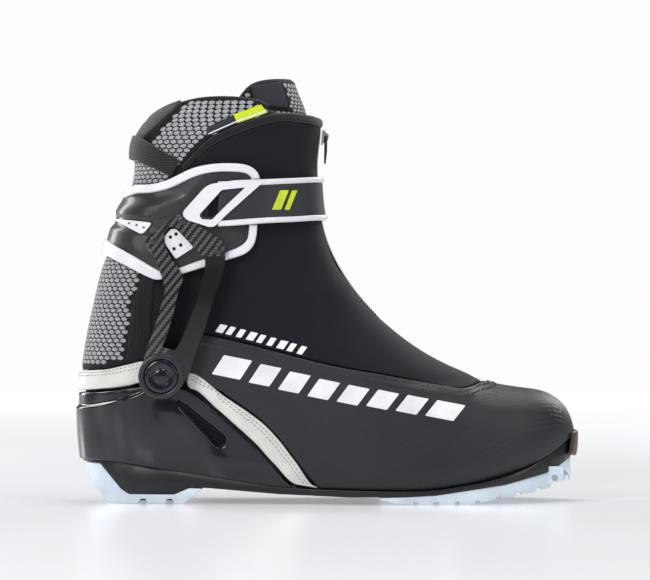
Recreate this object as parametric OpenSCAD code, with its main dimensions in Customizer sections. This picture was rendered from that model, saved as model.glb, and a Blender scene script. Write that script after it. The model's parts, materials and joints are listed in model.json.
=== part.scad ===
// Cross country skate boot: a stiff sole with a binding bar, a stitched upper with a lace gaiter,
// and a cuff that hinges at the ankle and closes with a strap.
// The toe points along +X, up is +Z, and the outer (lateral) side of this right boot is -Y.

/* [Size] */
// Length factor of the boot, 1 is a European size 42
length_factor = 1; // [0.97:0.01:1.03]
// Half width of the upper at the ball of the foot
ball_half_width = 49; // [47:0.5:51]
// Half width of the upper at the heel
heel_half_width = 35; // [34:0.5:36]
// Half width of the upper at the ankle and the leg
leg_half_width = 39; // [38:0.5:40]

/* [Walls] */
// Thickness of the gaiter and the vamp
upper_wall = 1.5; // [1:0.1:2]
// Thickness of the padded liner
liner_wall = 3.4; // [2.8:0.1:3.6]
// Thickness of the heel counter
counter_wall = 2.8; // [2.4:0.1:3.2]
// Thickness of the cuff shell
cuff_wall = 2.2; // [1.8:0.1:2.4]
// Thickness of the strap
strap_wall = 2.2; // [1.8:0.1:2.6]

/* [Ankle hinge] */
// Radius of the hinge rivet's shaft
rivet_r = 3; // [2.5:0.5:4]
// Radius of the hinge eye of the brace
eye_r = 13.7; // [13:0.1:15]
// Running clearance of the hinge
hinge_gap = 0.06; // [0.03:0.01:0.09]

/* [Binding] */
// Radius of the toe bar
bar_r = 2; // [2:0.1:2.5]
// Length of the bar that the binding can reach
bar_reach = 28; // [24:1:30]
// Width of each guide groove in the sole
groove_w = 8; // [6:0.5:9]
// Distance between the middles of the two grooves
groove_pitch = 28; // [26:1:30]
// Depth of the grooves
groove_depth = 3.2; // [2:0.2:4]

/* [Hidden] */
$fn = 48;
lateral = -1;
medial = 1;

// ---------------------------------------------------------------- curves

// A smooth curve through [x, value] points with rising x, flat beyond its ends.
function index_below(t, x) = max([for (i = [0:len(t) - 2]) t[i][0] <= x ? i : 0]);
function slope(t, i) =
    i == 0 || i == len(t) - 1 ? 0
    : (t[i + 1][1] - t[i - 1][1]) / (t[i + 1][0] - t[i - 1][0]);
function curve(t, x) =
    x <= t[0][0] ? t[0][1]
    : x >= t[len(t) - 1][0] ? t[len(t) - 1][1]
    : let (
        i = index_below(t, x),
        h = t[i + 1][0] - t[i][0],
        u = (x - t[i][0]) / h,
        a = 2 * u ^ 3 - 3 * u ^ 2 + 1,
        b = u ^ 3 - 2 * u ^ 2 + u,
        c = -2 * u ^ 3 + 3 * u ^ 2,
        d = u ^ 3 - u ^ 2
    ) a * t[i][1] + b * h * slope(t, i) + c * t[i + 1][1] + d * h * slope(t, i + 1);
function smooth(a, b, x) = let (t = min(1, max(0, (x - a) / (b - a)))) t * t * (3 - 2 * t);
function mix(a, b, t) = a + (b - a) * t;
// A point at share t of the way along an evenly stationed polyline.
function along(line, t) =
    let (n = len(line) - 1, f = min(n - 1e-9, max(0, t * n)), i = floor(f))
    mix(line[i], line[i + 1], f - i);

// ---------------------------------------------------------------- the skin of the upper
// The skin is where y - middle(x) is plus or minus half_width(x, z), between a back and a front line.

k = length_factor;
// Back line of the upper: [z, x]
BACK = [
    [8, -146], [25, -149.5], [45, -151.5], [65, -151.7], [82, -150], [104, -146.5], [122, -142.5],
    [139, -138.5], [150, -134.5], [170, -128], [186, -121], [200, -118], [218, -117], [232, -109],
    [244, -98], [262, -94]
];
// Front line of the upper, from the toe up over the instep to the leg: [z, x]
FRONT = [
    [8, 140], [26, 148.5], [40, 150.2], [50, 148.2], [58, 144], [64, 137], [67.5, 128], [69.5, 114],
    [71.5, 102], [74, 92.5], [78, 84.5], [84, 71], [92, 56.5], [102, 42.5], [115, 27.5], [131, 14],
    [148, 3.5], [165, -3], [184, -6.2], [206, -7], [229, -5], [240, -7], [262, -14]
];
// Height of the joint between the upper and the sole: [x, z]
FEATHER = [
    [-152, 26.5], [-137, 25.8], [-122, 24.6], [-70, 16.4], [-29, 10.6], [13, 8.8], [45, 8.2],
    [61, 8.8], [92, 13.4], [116, 20], [132, 28], [145, 37], [151, 41]
];
// Half widths of the foot at its widest height, as shares of the ball: [x, share]
FOOT_LATERAL = [
    [-150, 0.72], [-110, 0.73], [-60, 0.78], [-10, 0.86], [30, 0.97], [62, 1.02], [95, 0.99], [151, 0.9]
];
FOOT_MEDIAL = [
    [-150, 0.72], [-110, 0.73], [-60, 0.76], [-10, 0.8], [30, 0.9], [68, 1], [100, 0.99], [151, 0.92]
];

function back_x(z) = k * curve(BACK, z);
function front_x(z) = k * curve(FRONT, z);
function feather_z(x) = curve(FEATHER, x / k);
// Height of the front line over x, found from the same points.
TOP_HEIGHTS = concat([for (z = [30:2:60]) z], [for (z = [60.5:0.5:76]) z], [for (z = [78:3:168]) z]);
TOP = concat([for (z = TOP_HEIGHTS) [front_x(z), z]], [[-30, 900]]);
function top_z(x) = lookup(x, TOP);

// How round an edge is: 0 on the edge, 1 at depth 1 and beyond.
function edge(t, n) = t >= 1 ? 1 : 1 - (1 - t) ^ n;
function middle(x) = 7 * smooth(20, 150, x / k);
function foot_width(x, side) =
    ball_half_width * curve(side < 0 ? FOOT_LATERAL : FOOT_MEDIAL, x / k)
    + (heel_half_width - 35) * smooth(-40, -100, x / k);
function leg_width(z) =
    leg_half_width + 2.5 * smooth(170, 240, z) - 1.5 * smooth(80, 110, z) * smooth(170, 130, z);
// Square of the half width at (x, z): it falls below zero outside the back and front lines.
function width_squared(x, z, side) =
    let (
        behind = x - back_x(z),
        ahead = front_x(z) - x,
        below = abs(top_z(x) - z) + 0.01,
        reach = sqrt(ahead * ahead + below * below),
        inside = ahead * below / reach,
        level = (below / reach) ^ 2,
        leg = smooth(66, 120, z) * smooth(60, 0, x),
        round_front = mix(34, mix(66, 56, leg), level),
        round_back = mix(46, 52, leg),
        tuck = 1 - 0.07 * (1 - min(1, max(0, (z - feather_z(x)) / 14))) ^ 2,
        w = mix(foot_width(x, side), leg_width(z), leg) * tuck
    ) w * w * edge(behind / round_back, 2) * edge(inside / round_front, mix(2.4, 2, level));
function half_width(x, z, side) = sqrt(max(0, width_squared(x, z, side)));

// Places on the skin are [u, z]: u is 0 at the back, -1 or 1 at the front, below 0 on the lateral side.
function wrap(u) = u > 1 ? u - 2 : u < -1 ? u + 2 : u;
function x_at(u, z) = let (b = back_x(z), f = front_x(z)) b + (f - b) * (1 - cos(180 * abs(wrap(u)))) / 2;
function u_at(x, z) =
    let (b = back_x(z), f = front_x(z), share = (x - b) / (f - b)) acos(max(-1, min(1, 1 - 2 * share))) / 180;
function normal_at(x, z, side) =
    let (
        h = 0.4,
        w = half_width(x, z, side),
        b = back_x(z) + 2 * h,
        f = front_x(z) - 2 * h,
        xi = min(f, max(b, x)),
        dx = (width_squared(xi + h, z, side) - width_squared(xi - h, z, side)) / (2 * h),
        dz = (width_squared(xi, z + h, side) - width_squared(xi, z - h, side)) / (2 * h),
        n = [-dx / 2, side * w, -dz / 2]
    ) n / norm(n);
function skin(u, z, offset = 0) =
    let (
        side = wrap(u) < 0 ? lateral : medial,
        x = x_at(u, z),
        p = [x, middle(x) + side * half_width(x, z, side), z]
    ) offset == 0 ? p : p + offset * normal_at(x, z, side);

// ---------------------------------------------------------------- sheets on the skin

// Places [u, z] of side-view points [x, z] on one side, and their mirror on the other.
function places(points, side) = [for (p = points) [side * u_at(k * p[0], p[1]), p[1]]];
function reversed(list) = [for (i = [len(list) - 1:-1:0]) list[i]];
// The same columns of places on the other side, in the order that goes on round the boot.
function mirrored(columns) = [for (c = reversed(columns)) [for (p = c) [-p[0], p[1]]]];
// Places from the lateral front, round the back, to the medial front, closer together at the back.
function round_back(points, at_back) =
    let (
        half = places(points, lateral),
        last = half[len(half) - 1],
        near = [for (f = [0.75, 0.5, 0.25]) [last[0] * f, mix(at_back, last[1], f * f)]],
        all = concat(half, near)
    )
    concat(all, [[0, at_back]], [for (p = reversed(all)) [-p[0], p[1]]]);
// Stations that start evenly at x0 and close up towards x1.
function closing(x0, x1, n) = [for (i = [0:n]) mix(x0, x1, 1 - (1 - i / n) ^ 2)];
function both_sides(half, front) =
    unwrapped(concat(half, [[1, front]], [for (p = reversed(half)) [-p[0], p[1]]]));
// Lateral places as they are, medial ones moved on by a full turn, so that a line can cross the front.
function unwrapped(line) =
    [for (p = line) [p[0] > 0 && p[0] < 1 ? p[0] - 2 : p[0] == 1 ? -1 : p[0], p[1]]];

// Grid of places between a lower and an upper line of places, [columns + 1][rows + 1].
function ruled(lower, upper, columns, rows, bias = 1) = [
    for (i = [0:columns]) [
        for (j = [0:rows])
            mix(along(lower, i / columns), along(upper, i / columns), 1 - (1 - j / rows) ^ bias)
    ]
];

// A closed sheet over a grid of places, from one distance off the skin to another.
module sheet(grid, from, to, ring = false) {
    columns = ring ? len(grid) : len(grid) - 1;
    rows = len(grid[0]) - 1;
    count = len(grid) * (rows + 1);
    function off(rule, p) = is_function(rule) ? rule(p) : rule;
    points = concat(
        [for (column = grid) for (p = column) skin(p[0], p[1], off(to, p))],
        [for (column = grid) for (p = column) skin(p[0], p[1], off(from, p))]
    );
    function id(i, j) = (i % len(grid)) * (rows + 1) + j;
    quads = concat(
        [for (i = [0:columns - 1]) for (j = [0:rows - 1])
            [id(i, j), id(i + 1, j), id(i + 1, j + 1), id(i, j + 1)]],
        [for (i = [0:columns - 1]) for (j = [0:rows - 1])
            [count + id(i, j), count + id(i, j + 1), count + id(i + 1, j + 1), count + id(i + 1, j)]],
        [for (i = [0:columns - 1]) [id(i, 0), count + id(i, 0), count + id(i + 1, 0), id(i + 1, 0)]],
        [for (i = [0:columns - 1])
            [id(i, rows), id(i + 1, rows), count + id(i + 1, rows), count + id(i, rows)]],
        ring ? [] : [for (j = [0:rows - 1])
            [id(0, j), id(0, j + 1), count + id(0, j + 1), count + id(0, j)]],
        ring ? [] : [for (j = [0:rows - 1])
            [id(columns, j), count + id(columns, j), count + id(columns, j + 1), id(columns, j + 1)]]
    );
    triangles = [for (q = quads) for (t = [[q[0], q[1], q[2]], [q[0], q[2], q[3]]]) t];
    polyhedron(points, triangles);
}

// ---------------------------------------------------------------- outlines in the side view

// Lower end of the cuff's upper zone and upper end of the boot's lower zone. Between them the
// soft layers fold when the ankle flexes. Both end at the front line: [x, z]
UPPER_CUT = [[-146, 126], [-100, 136], [-50, 150], [-10, 162], [0, 165]];
LOWER_CUT = [[-150, 98], [-110, 99], [-60, 108], [0, 116], [30, 112]];
// Seam between the vamp and the gaiter: [x, z]
SEAM = [
    [-86, 102.2], [-78, 102.5], [-60, 99.4], [1, 84], [34, 78], [67, 71.6], [78, 69.6], [86, 70.8], [93, 73.4]
];
seam_tip = 73.6; // height of the seam on the front line
// Upper edge of the heel counter, from its front tip to the hinge and on towards the back: [x, z]
COUNTER_EDGE = [
    [-20, 11.2], [-34, 23.5], [-44, 34.5], [-56, 45.5], [-68, 56], [-84, 68], [-100, 72], [-117, 70],
    [-131, 68]
];
counter_back = 66.5; // height of that edge on the back line
// Upper edge of the pale trim: [x, z]
TRIM_EDGE = [[-7, 10.5], [-20, 26], [-30, 39], [-41, 50], [-62, 64.5], [-84, 79]];
TRIM_REAR_EDGE = [[-110, 86], [-122, 83.5], [-138, 80.5]];
TRIM_REAR_LOW = [[-112, 73], [-120, 71], [-134, 69.4]];

function feather_places(x0, x1, n, lift, side) =
    places([for (i = [0:n]) let (x = mix(x0, x1, i / n)) [x, feather_z(k * x) + lift]], side);

hinge = [-100 * k, 77]; // the ankle hinge's axis in the side view
module on_side(side) mirror([0, side > 0 ? 1 : 0, 0]) children();
// A flat plate over a side-view outline, on the lateral side, between two distances from the middle.
module plate(near, far) translate([0, -near, 0]) rotate([90, 0, 0]) linear_extrude(far - near) children();
module across(width) translate([0, width / 2, 0]) rotate([90, 0, 0]) linear_extrude(width) children();
// A cylinder along Y on the lateral side.
module pin(x, z, r, near, far) translate([x, -near, z]) rotate([90, 0, 0]) cylinder(r = r, h = far - near);

// ---------------------------------------------------------------- sole

sole_level = 30; // height of the slice that the sole's plan outline follows
function sole_outline(inset) =
    [for (i = [0:71]) let (p = skin(-1 + i / 36, sole_level, -inset)) [p[0], p[1]]];
module sole_plan(inset, height = 60)
    translate([0, 0, -1]) linear_extrude(height) polygon(sole_outline(inset));
function feather_line(x0, x1, lift, n = 30) =
    [for (i = [0:n]) let (x = k * mix(x0, x1, i / n)) [x, feather_z(x) + lift]];
function scaled(points) = [for (p = points) [k * p[0], p[1]]];

SOLE_BELLY = [
    [151, 28.5], [147.5, 27.6], [135, 19.2], [106, 12], [64, 6], [45, 5], [13, 4.4], [-30, 6.2],
    [-71, 9.6], [-84, 10.2], [-93, 6.4], [-120, 6.4], [-124.5, 9.4], [-137.6, 24.4], [-150, 25]
];
HEEL_TREAD = [
    [-147, 24.6], [-138, 24], [-124.8, 8.9], [-120.2, 6], [-92.8, 6], [-83.8, 9.8], [-75.5, 9.4],
    [-87, 0], [-131.5, 0], [-141.3, 9], [-146.6, 18]
];
TOE_TREAD_TOP = [[150.5, 27.9], [147.6, 27.2], [135, 18.8], [106, 11.6], [64, 5.6], [45, 4.6], [31, 4.2]];
TOE_TREAD_LOW = [[31, 3], [40, 1], [56, 0], [84, 0], [104, 3.6], [125, 7], [147.5, 12.5], [149.6, 18]];
bar = [137 * k, 15];
carrier_w = 6;

module grooves(low) {
    for (side = [lateral, medial])
        translate([0, side * groove_pitch / 2, 0]) across(groove_w) polygon(concat(
            [[-160, -5], [160, -5]], reversed([for (p = low) [k * p[0], p[1] + groove_depth]])));
}
module bar_slot() across(bar_reach) polygon([
    bar + [-8, -20], bar + [-8, 3], bar + [-5, 6], bar + [5, 6], bar + [9, 2], bar + [16, -20]]);
module carrier_pocket(gap) across(bar_reach + 2 * carrier_w + 2 * gap) offset(delta = gap) carrier_outline();
module carrier_outline() polygon([
    bar + [-6.5, -3.4], bar + [-6.5, 5], bar + [-4.5, 7], bar + [4, 7], bar + [5.4, 5.6], bar + [5.4, -2.2]]);

module sole_plate() color("#26262a") difference() {
    intersection() {
        sole_plan(0.8);
        across(130) polygon(concat(feather_line(-152, 151, -0.25), scaled(SOLE_BELLY)));
    }
    across(2 * shank_half + 0.4) polygon(concat(
        feather_line(shank_from - 1, shank_to + 1, 1, 12),
        reversed(feather_line(shank_from - 1, shank_to + 1, -2, 12))));
    grooves([[-160, 3], [-60, 3], [13, 1.6], [64, 3.6], [106, 9], [150, 22]]);
    bar_slot();
    carrier_pocket(0.05);
}

LUG_GAPS = [-111.5, -95.5];
module heel_tread() color("#d4deee") difference() {
    intersection() {
        sole_plan(1.6);
        across(130) polygon(scaled(HEEL_TREAD));
    }
    grooves([[-160, 0], [0, 0]]);
    for (x = LUG_GAPS) across(130) polygon([[x - 3, -1], [x - 1.6, 3], [x + 1.6, 3], [x + 3, -1]]);
}

lug_pitch = 12.5;
TREAD_RISE = [[84, 0], [104, 3.6], [125, 7], [147, 12]]; // lowest face of the toe tread: [x, z]
module toe_tread() color("#d4deee") difference() {
    intersection() {
        sole_plan(1.4);
        across(130) polygon(concat(scaled(TOE_TREAD_TOP), scaled(TOE_TREAD_LOW)));
    }
    grooves([[20, 0], [56, 0], [84, 0], [104, 3.6], [125, 7], [150, 13]]);
    for (i = [0:6]) let (x = k * (52 + i * lug_pitch), z = curve(TREAD_RISE, x / k))
        across(130) polygon([[x - 2.6, z - 3], [x - 1.2, z + 2], [x + 1.2, z + 2], [x + 2.6, z - 3]]);
    bar_slot();
    carrier_pocket(0.05);
}

module bar_carrier() color("#8d9096") difference() {
    across(bar_reach + 2 * carrier_w) carrier_outline();
    bar_slot();
    translate([bar[0], 0, bar[1]]) rotate([90, 0, 0]) cylinder(r = bar_r, h = 100, center = true);
}
module toe_bar() color("#c9ccd2") translate([bar[0], 0, bar[1]]) rotate([90, 0, 0])
    cylinder(r = bar_r, h = bar_reach + 2 * carrier_w - 1, center = true);

module toe_bumper() color("#4a3427")
    sheet(ruled([[0.93, 29], [1, 27.6], [1.07, 29]], [[0.94, 42], [1, 43], [1.06, 42]], 8, 4), 0.15, 2.4);

shank_from = -105;
shank_to = 30;
shank_half = 9;
module shank() color("#5c6066") across(2 * shank_half) polygon(concat(
    feather_line(shank_from, shank_to, -0.35, 12), reversed(feather_line(shank_from, shank_to, -1.8, 12))));
module lasting_board() color("#7d735f") intersection() {
    sole_plan(6);
    across(120) polygon(concat(feather_line(-147, 145, 0.1), reversed(feather_line(-147, 145, 1.9))));
}
module insole() color("#3a3d44") intersection() {
    sole_plan(9);
    across(120) polygon(concat(feather_line(-143, 141, 2.1), reversed(feather_line(-143, 141, 5.8))));
}

// ---------------------------------------------------------------- upper on the boot body

// The vamp's rear edge follows the trim: [x, z]
VAMP_REAR = [
    [-86, 81], [-73, 73], [-62, 66], [-51, 58.8], [-41, 51.6], [-30, 40.6], [-20, 27.6], [-12, 17.2], [-5, 10]
];
module vamp(side) color("#2b2c30") {
    low = concat(VAMP_REAR,
        [for (i = [1:13]) let (x = closing(-5, 150, 14)[i]) [x, feather_z(k * x) + 0.2]]);
    high = concat(
        [for (i = [0:8]) let (x = mix(-86, -40, i / 8)) [x, curve(SEAM, x) - 0.5]],
        [for (i = [1:13]) let (x = closing(-40, 93.2, 14)[i]) [x, curve(SEAM, x) - 0.5]]);
    tip = 40.6; // height of the lower edge on the front line
    lower = concat(places(low, side), [[0.9995 * side, tip]]);
    upper = concat(places(high, side), [[0.9995 * side, seam_tip - 0.6]]);
    sheet(side < 0
        ? ruled(lower, upper, 24, 11, 1.7)
        : ruled(reversed(lower), reversed(upper), 24, 11, 1.7), -upper_wall, 0);
}
module toe_puff() color("#55504a") {
    low = concat(
        feather_places(92, 146, 8, 3, lateral), [[1, 42]], reversed(feather_places(92, 146, 8, 3, medial)));
    side = places([for (i = [0:8]) let (x = mix(92, 104, i / 8)) [x, mix(58, 66, i / 8)]], lateral);
    high = concat(side, [[1, 71]], [for (p = reversed(side)) [-p[0], p[1]]]);
    sheet(ruled(unwrapped(low), unwrapped(high), 28, 9, 1.5), -upper_wall - 1, -upper_wall - 0.45);
}

// Rows of the lower zone, denser where the top of the toe is nearly level.
LINER_LEVELS = [0, 0.15, 0.35, 0.55, 0.7, 0.8, 0.88, 0.94, 1];
liner_to = -upper_wall - 2.2;
liner_from = liner_to - liner_wall;
lining_gap = 0.9; // between the outer layer and the liner above the foot
throat_u = 0.74; // where the liner opens in front for the tongue
throat_z = 72; // height of that opening's lower end
liner_joint = 0.6; // where the heel and toe pieces of the liner meet
module liner_zone(u0, u1, columns) color("#5b5e66") sheet(
    [for (i = [0:columns]) let (u = mix(u0, u1, i / columns), low = feather_z(x_at(u, 40)) + 2.4)
        [for (s = LINER_LEVELS) [u, mix(low, throat_z, s)]]], liner_from, liner_to);
module liner_heel() liner_zone(-liner_joint, liner_joint, 36);
module liner_toe() liner_zone(liner_joint + 0.0005, 2 - liner_joint - 0.0005, 24);
module liner_ankle() color("#5b5e66") sheet(
    [for (i = [0:30]) let (u = mix(-throat_u, throat_u, i / 30), high = curve(LOWER_CUT, x_at(u, 100) / k))
        [for (j = [0:5]) [u, mix(throat_z + 0.15, high, j / 5)]]], liner_from, liner_to);

module liner_flex() color("#5b5e66") {
    grid = [for (i = [0:30]) let (
        u = mix(-0.77, 0.77, i / 30),
        low = curve(LOWER_CUT, x_at(u, 100) / k) + 0.6,
        high = curve(UPPER_CUT, x_at(u, 150) / k) - 1
    ) [for (j = [0:5]) [u, mix(low, high, j / 5)]]];
    sheet(grid, liner_from, -upper_wall - lining_gap);
}

module tongue_zone(side, z0, z1, rows) color("#6a6d75") sheet(
    ruled(
        [[side, z0[0]], [0.9, z0[1]], [1, z0[2]], [1.1, z0[1]], [2 - side, z0[0]]],
        [[side, z1[0]], [0.9, z1[1]], [1, z1[2]], [1.1, z1[1]], [2 - side, z1[0]]], 14, rows),
    liner_from, liner_to);

counter_sink = 1.2; // how far the counter's inner face lies below the skin
module heel_counter() color("#1c1c20") {
    low = round_back([for (i = [0:14]) let (x = mix(-18, -140, i / 14)) [x, feather_z(k * x) + 0.15]], 26.2);
    edge_points = [for (i = [0:14]) let (x = mix(-20, -140, i / 14))
        [x, i == 0 ? 13 : curve(reversed(COUNTER_EDGE), x)]];
    high = round_back(edge_points, counter_back);
    difference() {
        sheet(ruled(low, high, 44, 6), -counter_sink, counter_wall - counter_sink);
        for (side = [lateral, medial]) on_side(side) pin(hinge[0], hinge[1], boss_r + 0.3, 30, 60);
    }
}

boss_r = 12.6;
boss_from = 36.8;
boss_face = 42.9; // distance of the boss's outer face from the middle of the boot
boss_root = 33.5;
module hinge_bosses() color("#202024") for (side = [lateral, medial]) on_side(side) difference() {
    union() {
        pin(hinge[0], hinge[1], boss_r, boss_from, boss_face);
        pin(hinge[0], hinge[1], boss_r - 3, boss_root, boss_from + 0.4);
    }
    pin(hinge[0], hinge[1], rivet_r, 20, 60);
}

module trim(side) color("#e4e5e2") {
    low = places([for (p = COUNTER_EDGE) if (p[0] > -90) [p[0] + 1.1, p[1] + 1.3]], side);
    high = places(TRIM_EDGE, side);
    sheet(side < 0 ? ruled(low, high, 14, 3) : ruled(reversed(low), reversed(high), 14, 3), -upper_wall, 0.4);
}
module trim_rear() color("#e4e5e2")
    sheet(ruled(round_back(TRIM_REAR_LOW, 67.8), round_back(TRIM_REAR_EDGE, 79.6), 24, 3), -upper_wall, 0.4);

// The gaiter from its rear edge to the front line, on both sides.
function gaiter_line(line, z_front, x0, n) =
    let (stations = closing(x0, front_x(z_front) / k, n))
    both_sides(places([for (i = [0:n - 1]) [stations[i], curve(line, stations[i])]], lateral), z_front);
GAITER_TOP = [
    [-89, 203], [-79, 211.7], [-71, 219], [-53, 227.5], [-37, 233], [-25, 234.6], [-11, 233.5], [-6, 232.4]
];
module gaiter_upper() color("#1d1b22") sheet(ruled(
    gaiter_line(UPPER_CUT, 165, -103, 14), gaiter_line(GAITER_TOP, 231.5, -87, 14), 40, 8), -upper_wall, 0);
module gaiter_flex() color("#1d1b22") sheet(ruled(
    gaiter_line(LOWER_CUT, 112, -106, 14), gaiter_line(lifted(UPPER_CUT, -1), 164.4, -103, 14), 40, 6),
    -upper_wall, 0);
// The gaiter's lower corner, between the rear textile, the hinge and the vamp: [x, z]
GAITER_CORNER = [[-107, 91.5], [-97, 91.2], [-91.6, 94], [-87, 101.6]];
module gaiter_lower() color("#1d1b22") {
    tip = seam_tip + 0.5;
    top = 111.4;
    low = concat(GAITER_CORNER,
        [for (i = [0:19]) let (x = closing(-81, front_x(tip) / k, 20)[i]) [x, curve(SEAM, x) + 0.5]]);
    high = concat([for (i = [0:3]) [-106 + 5 * i, curve(LOWER_CUT, -106 + 5 * i) - 0.6]],
        [for (i = [0:19]) let (x = closing(-86, front_x(top) / k, 20)[i]) [x, curve(LOWER_CUT, x) - 0.6]]);
    sheet(ruled(
        both_sides(places(low, lateral), tip), both_sides(places(high, lateral), top), 48, 5),
        -upper_wall, 0);
}

// Rear textile of the liner, between the gaiter's rear edges.
function rear_line(line, x0, at_back) =
    let (x1 = back_x(at_back) / k + 7)
    round_back([for (i = [0:5]) let (x = mix(x0, x1, i / 5)) [x, curve(line, x)]], at_back);
function lifted(line, dz) = [for (p = line) p + [0, dz]];

module mesh_lower() color("#9a9ca0")
    sheet(ruled(rear_line(lifted(reversed(TRIM_REAR_EDGE), 0.6), -108.6, 80.4),
        rear_line(lifted(LOWER_CUT, -0.6), -106.8, 97.4), 24, 3), -upper_wall, 0);
module mesh_flex() color("#9a9ca0")
    sheet(ruled(rear_line(LOWER_CUT, -106.8, 98), rear_line(lifted(UPPER_CUT, -1), -103.8, 125), 24, 4),
        -upper_wall, 0);

COLLAR_TOP = [
    [-112, 227], [-105, 234], [-95, 239.6], [-81, 243.6], [-67, 244.6], [-53, 244], [-42, 242.4], [-35, 239.6]
];
// Front edge of the collar's textile, beside the gaiter: [z, x]
COLLAR_EDGE = [[136, -103.8], [165, -98.8], [203, -90], [212, -80], [219, -72], [227.5, -54], [233.4, -38]];
module mesh_collar() color("#9a9ca0") {
    levels = [for (i = [0:14]) mix(136, 233.4, i / 14)];
    low = places([for (z = levels) let (x = curve(COLLAR_EDGE, z)) [x, z]], lateral);
    side = [for (i = [0:14]) let (x = mix(-36, -109.5, i / 14)) [x, curve(COLLAR_TOP, x)]];
    rear = round_back([for (i = [0:4]) let (x = mix(-106, -129, i / 4)) [x, curve(UPPER_CUT, x)]], 126);
    columns = concat(
        [for (i = [0:13]) [low[14 - i], places([side[i]], lateral)[0]]],
        [for (i = [0:7]) [rear[i], [-0.2 * (1 - i / 8), mix(225, 226.4, (1 - i / 8) ^ 2)]]],
        [[[0, 126], [0, 225]]]);
    one_side = [for (i = [0:len(columns) - 2]) columns[i]];
    sheet([for (c = concat(columns, mirrored(one_side))) [for (j = [0:8]) mix(c[0], c[1], j / 8)]],
        -upper_wall, 0);
}

// Padded collar of the liner, under the gaiter, the textile and the cuff.
module liner_collar() color("#4a4c52") {
    rim = concat([[-118, 224]], COLLAR_TOP, [[-20, 236]]);
    top_at = function (u) curve(rim, x_at(u, 236) / k) - 2.5;
    low_at = function (u) curve(UPPER_CUT, x_at(u, 150) / k);
    grid = [for (i = [0:30]) let (u = mix(-0.77, 0.77, i / 30), t = min(1, abs(u) / 0.12))
        [for (j = [0:8]) [u, mix(low_at(u), mix(223, top_at(u), t), j / 8)]]];
    sheet(grid, liner_from, -upper_wall - lining_gap);
}

TONGUE_SIDE = [[166, 0.79], [190, 0.785], [205, 0.72], [222, 0.58], [236, 0.5], [246, 0.5]]; // [z, u]
function tongue_in(p) = -7 - 4.2 * smooth(168, 196, p[1]);
function tongue_out(p) = tongue_in(p) + liner_wall;
module tongue_upper() color("#6a6d75") {
    grid = [for (i = [0:20]) let (t = i / 20, side = abs(2 * t - 1))
        [for (j = [0:10]) let (
            top = 258.4 - 13 * side ^ 3,
            z = mix(mix(166, curve(UPPER_CUT, -10) + 0.4, side), top, j / 10),
            reach = curve(TONGUE_SIDE, z)
        ) [mix(reach, 2 - reach, t), z]]];
    sheet(grid, function (p) tongue_in(p), function (p) tongue_out(p));
}

module tongue_lower() tongue_zone(0.768, [80, 78, 77], [111, 113, 114], 6);
module tongue_flex() tongue_zone(0.78, [112, 113.6, 114.6], [160, 164, 165.4], 6);
LACE_LEVELS = [82, 87, 93, 99, 105];
module eyestays() color("#2a2a2e") {
    near = liner_to + 0.3;
    far = liner_to + 0.9;
    sheet(ruled([[0.71, 86], [0.758, 82]], [[0.71, 104], [0.758, 108]], 3, 5), near, far);
    sheet(ruled([[1.242, 82], [1.29, 86]], [[1.242, 108], [1.29, 104]], 3, 5), near, far);
}
module lace() color("#c8cacc") for (z = LACE_LEVELS)
    sheet(ruled([[0.764, z], [1, z + 1], [1.236, z]], [[0.764, z + 3], [1, z + 4], [1.236, z + 3]], 12, 1),
        liner_to + 0.8, liner_to + 1.4);

// Rolled edge along the gaiter's top, standing over its outer face.
module gaiter_binding() color("#17151b") sheet(ruled(
    gaiter_line(lifted(GAITER_TOP, -4), 228, -87, 12),
    gaiter_line(lifted(GAITER_TOP, 0.6), 232.2, -87, 12), 32, 2), 0.1, 1.3);

// ---------------------------------------------------------------- cuff

shell_from = 0.9;
shell_to = shell_from + cuff_wall;
rim_from = shell_to + 0.35;
rim_to = rim_from + 0.6;
// Edges of the cuff and of its raised rims, from the front to near the back: [x, z]
CUFF_LOW = [
    [-44, 160], [-45.4, 155.4], [-50, 150.6], [-60, 147.2], [-80, 140.8], [-100.5, 134.8], [-105, 135.4],
    [-118, 141.8], [-129, 147.2]
];
CUFF_LOW_INNER = [
    [-48.4, 161.5], [-49.6, 158], [-53.5, 154.8], [-62, 151.4], [-80, 145.6], [-98, 139.4], [-103, 141.4],
    [-116, 149], [-126, 154.6]
];
CUFF_HIGH = [
    [-42, 195.5], [-43.6, 199.7], [-48, 203.2], [-54, 204.6], [-67.4, 204.6], [-80, 202], [-95.4, 194.4],
    [-104, 192], [-113, 191.6]
];
CUFF_HIGH_INNER = [
    [-46.6, 194.5], [-47.8, 197], [-50.5, 199], [-56, 199.8], [-67, 199.8], [-78, 197.4], [-94, 189.6],
    [-104, 187], [-113, 186.6]
];
// Heights of the same edges on the back line.
low_back = 150.4;
low_inner_back = 158.6;
high_back = 187.4;
high_inner_back = 182.8;
module cuff_shell() color("#3b3c42") sheet(ruled(
    round_back(CUFF_LOW, low_back), round_back(CUFF_HIGH, high_back), 36, 8), shell_from, shell_to);
module cuff_rim_top() color("#f0f0f2") sheet(ruled(
    round_back(CUFF_HIGH_INNER, high_inner_back), round_back(CUFF_HIGH, high_back), 44, 1), rim_from, rim_to);
module cuff_rim_bottom() color("#f0f0f2") sheet(ruled(
    round_back(CUFF_LOW, low_back), round_back(CUFF_LOW_INNER, low_inner_back), 44, 1), rim_from, rim_to);

REAR_VENT = [[-124, 169.8], [-116, 169.4], [-103.6, 168.4]];
REAR_VENT_LOW = [[-121, 168], [-114, 164.6], [-109.4, 162.2]];
module rear_vents() color("#e8e9ec") for (side = [lateral, medial]) {
    low = places(REAR_VENT_LOW, side);
    high = places(REAR_VENT, side);
    sheet(side < 0 ? ruled(low, high, 4, 1) : ruled(reversed(low), reversed(high), 4, 1),
        rim_from, rim_from + 0.8);
}

// ---------------------------------------------------------------- ankle brace and hinge

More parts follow.
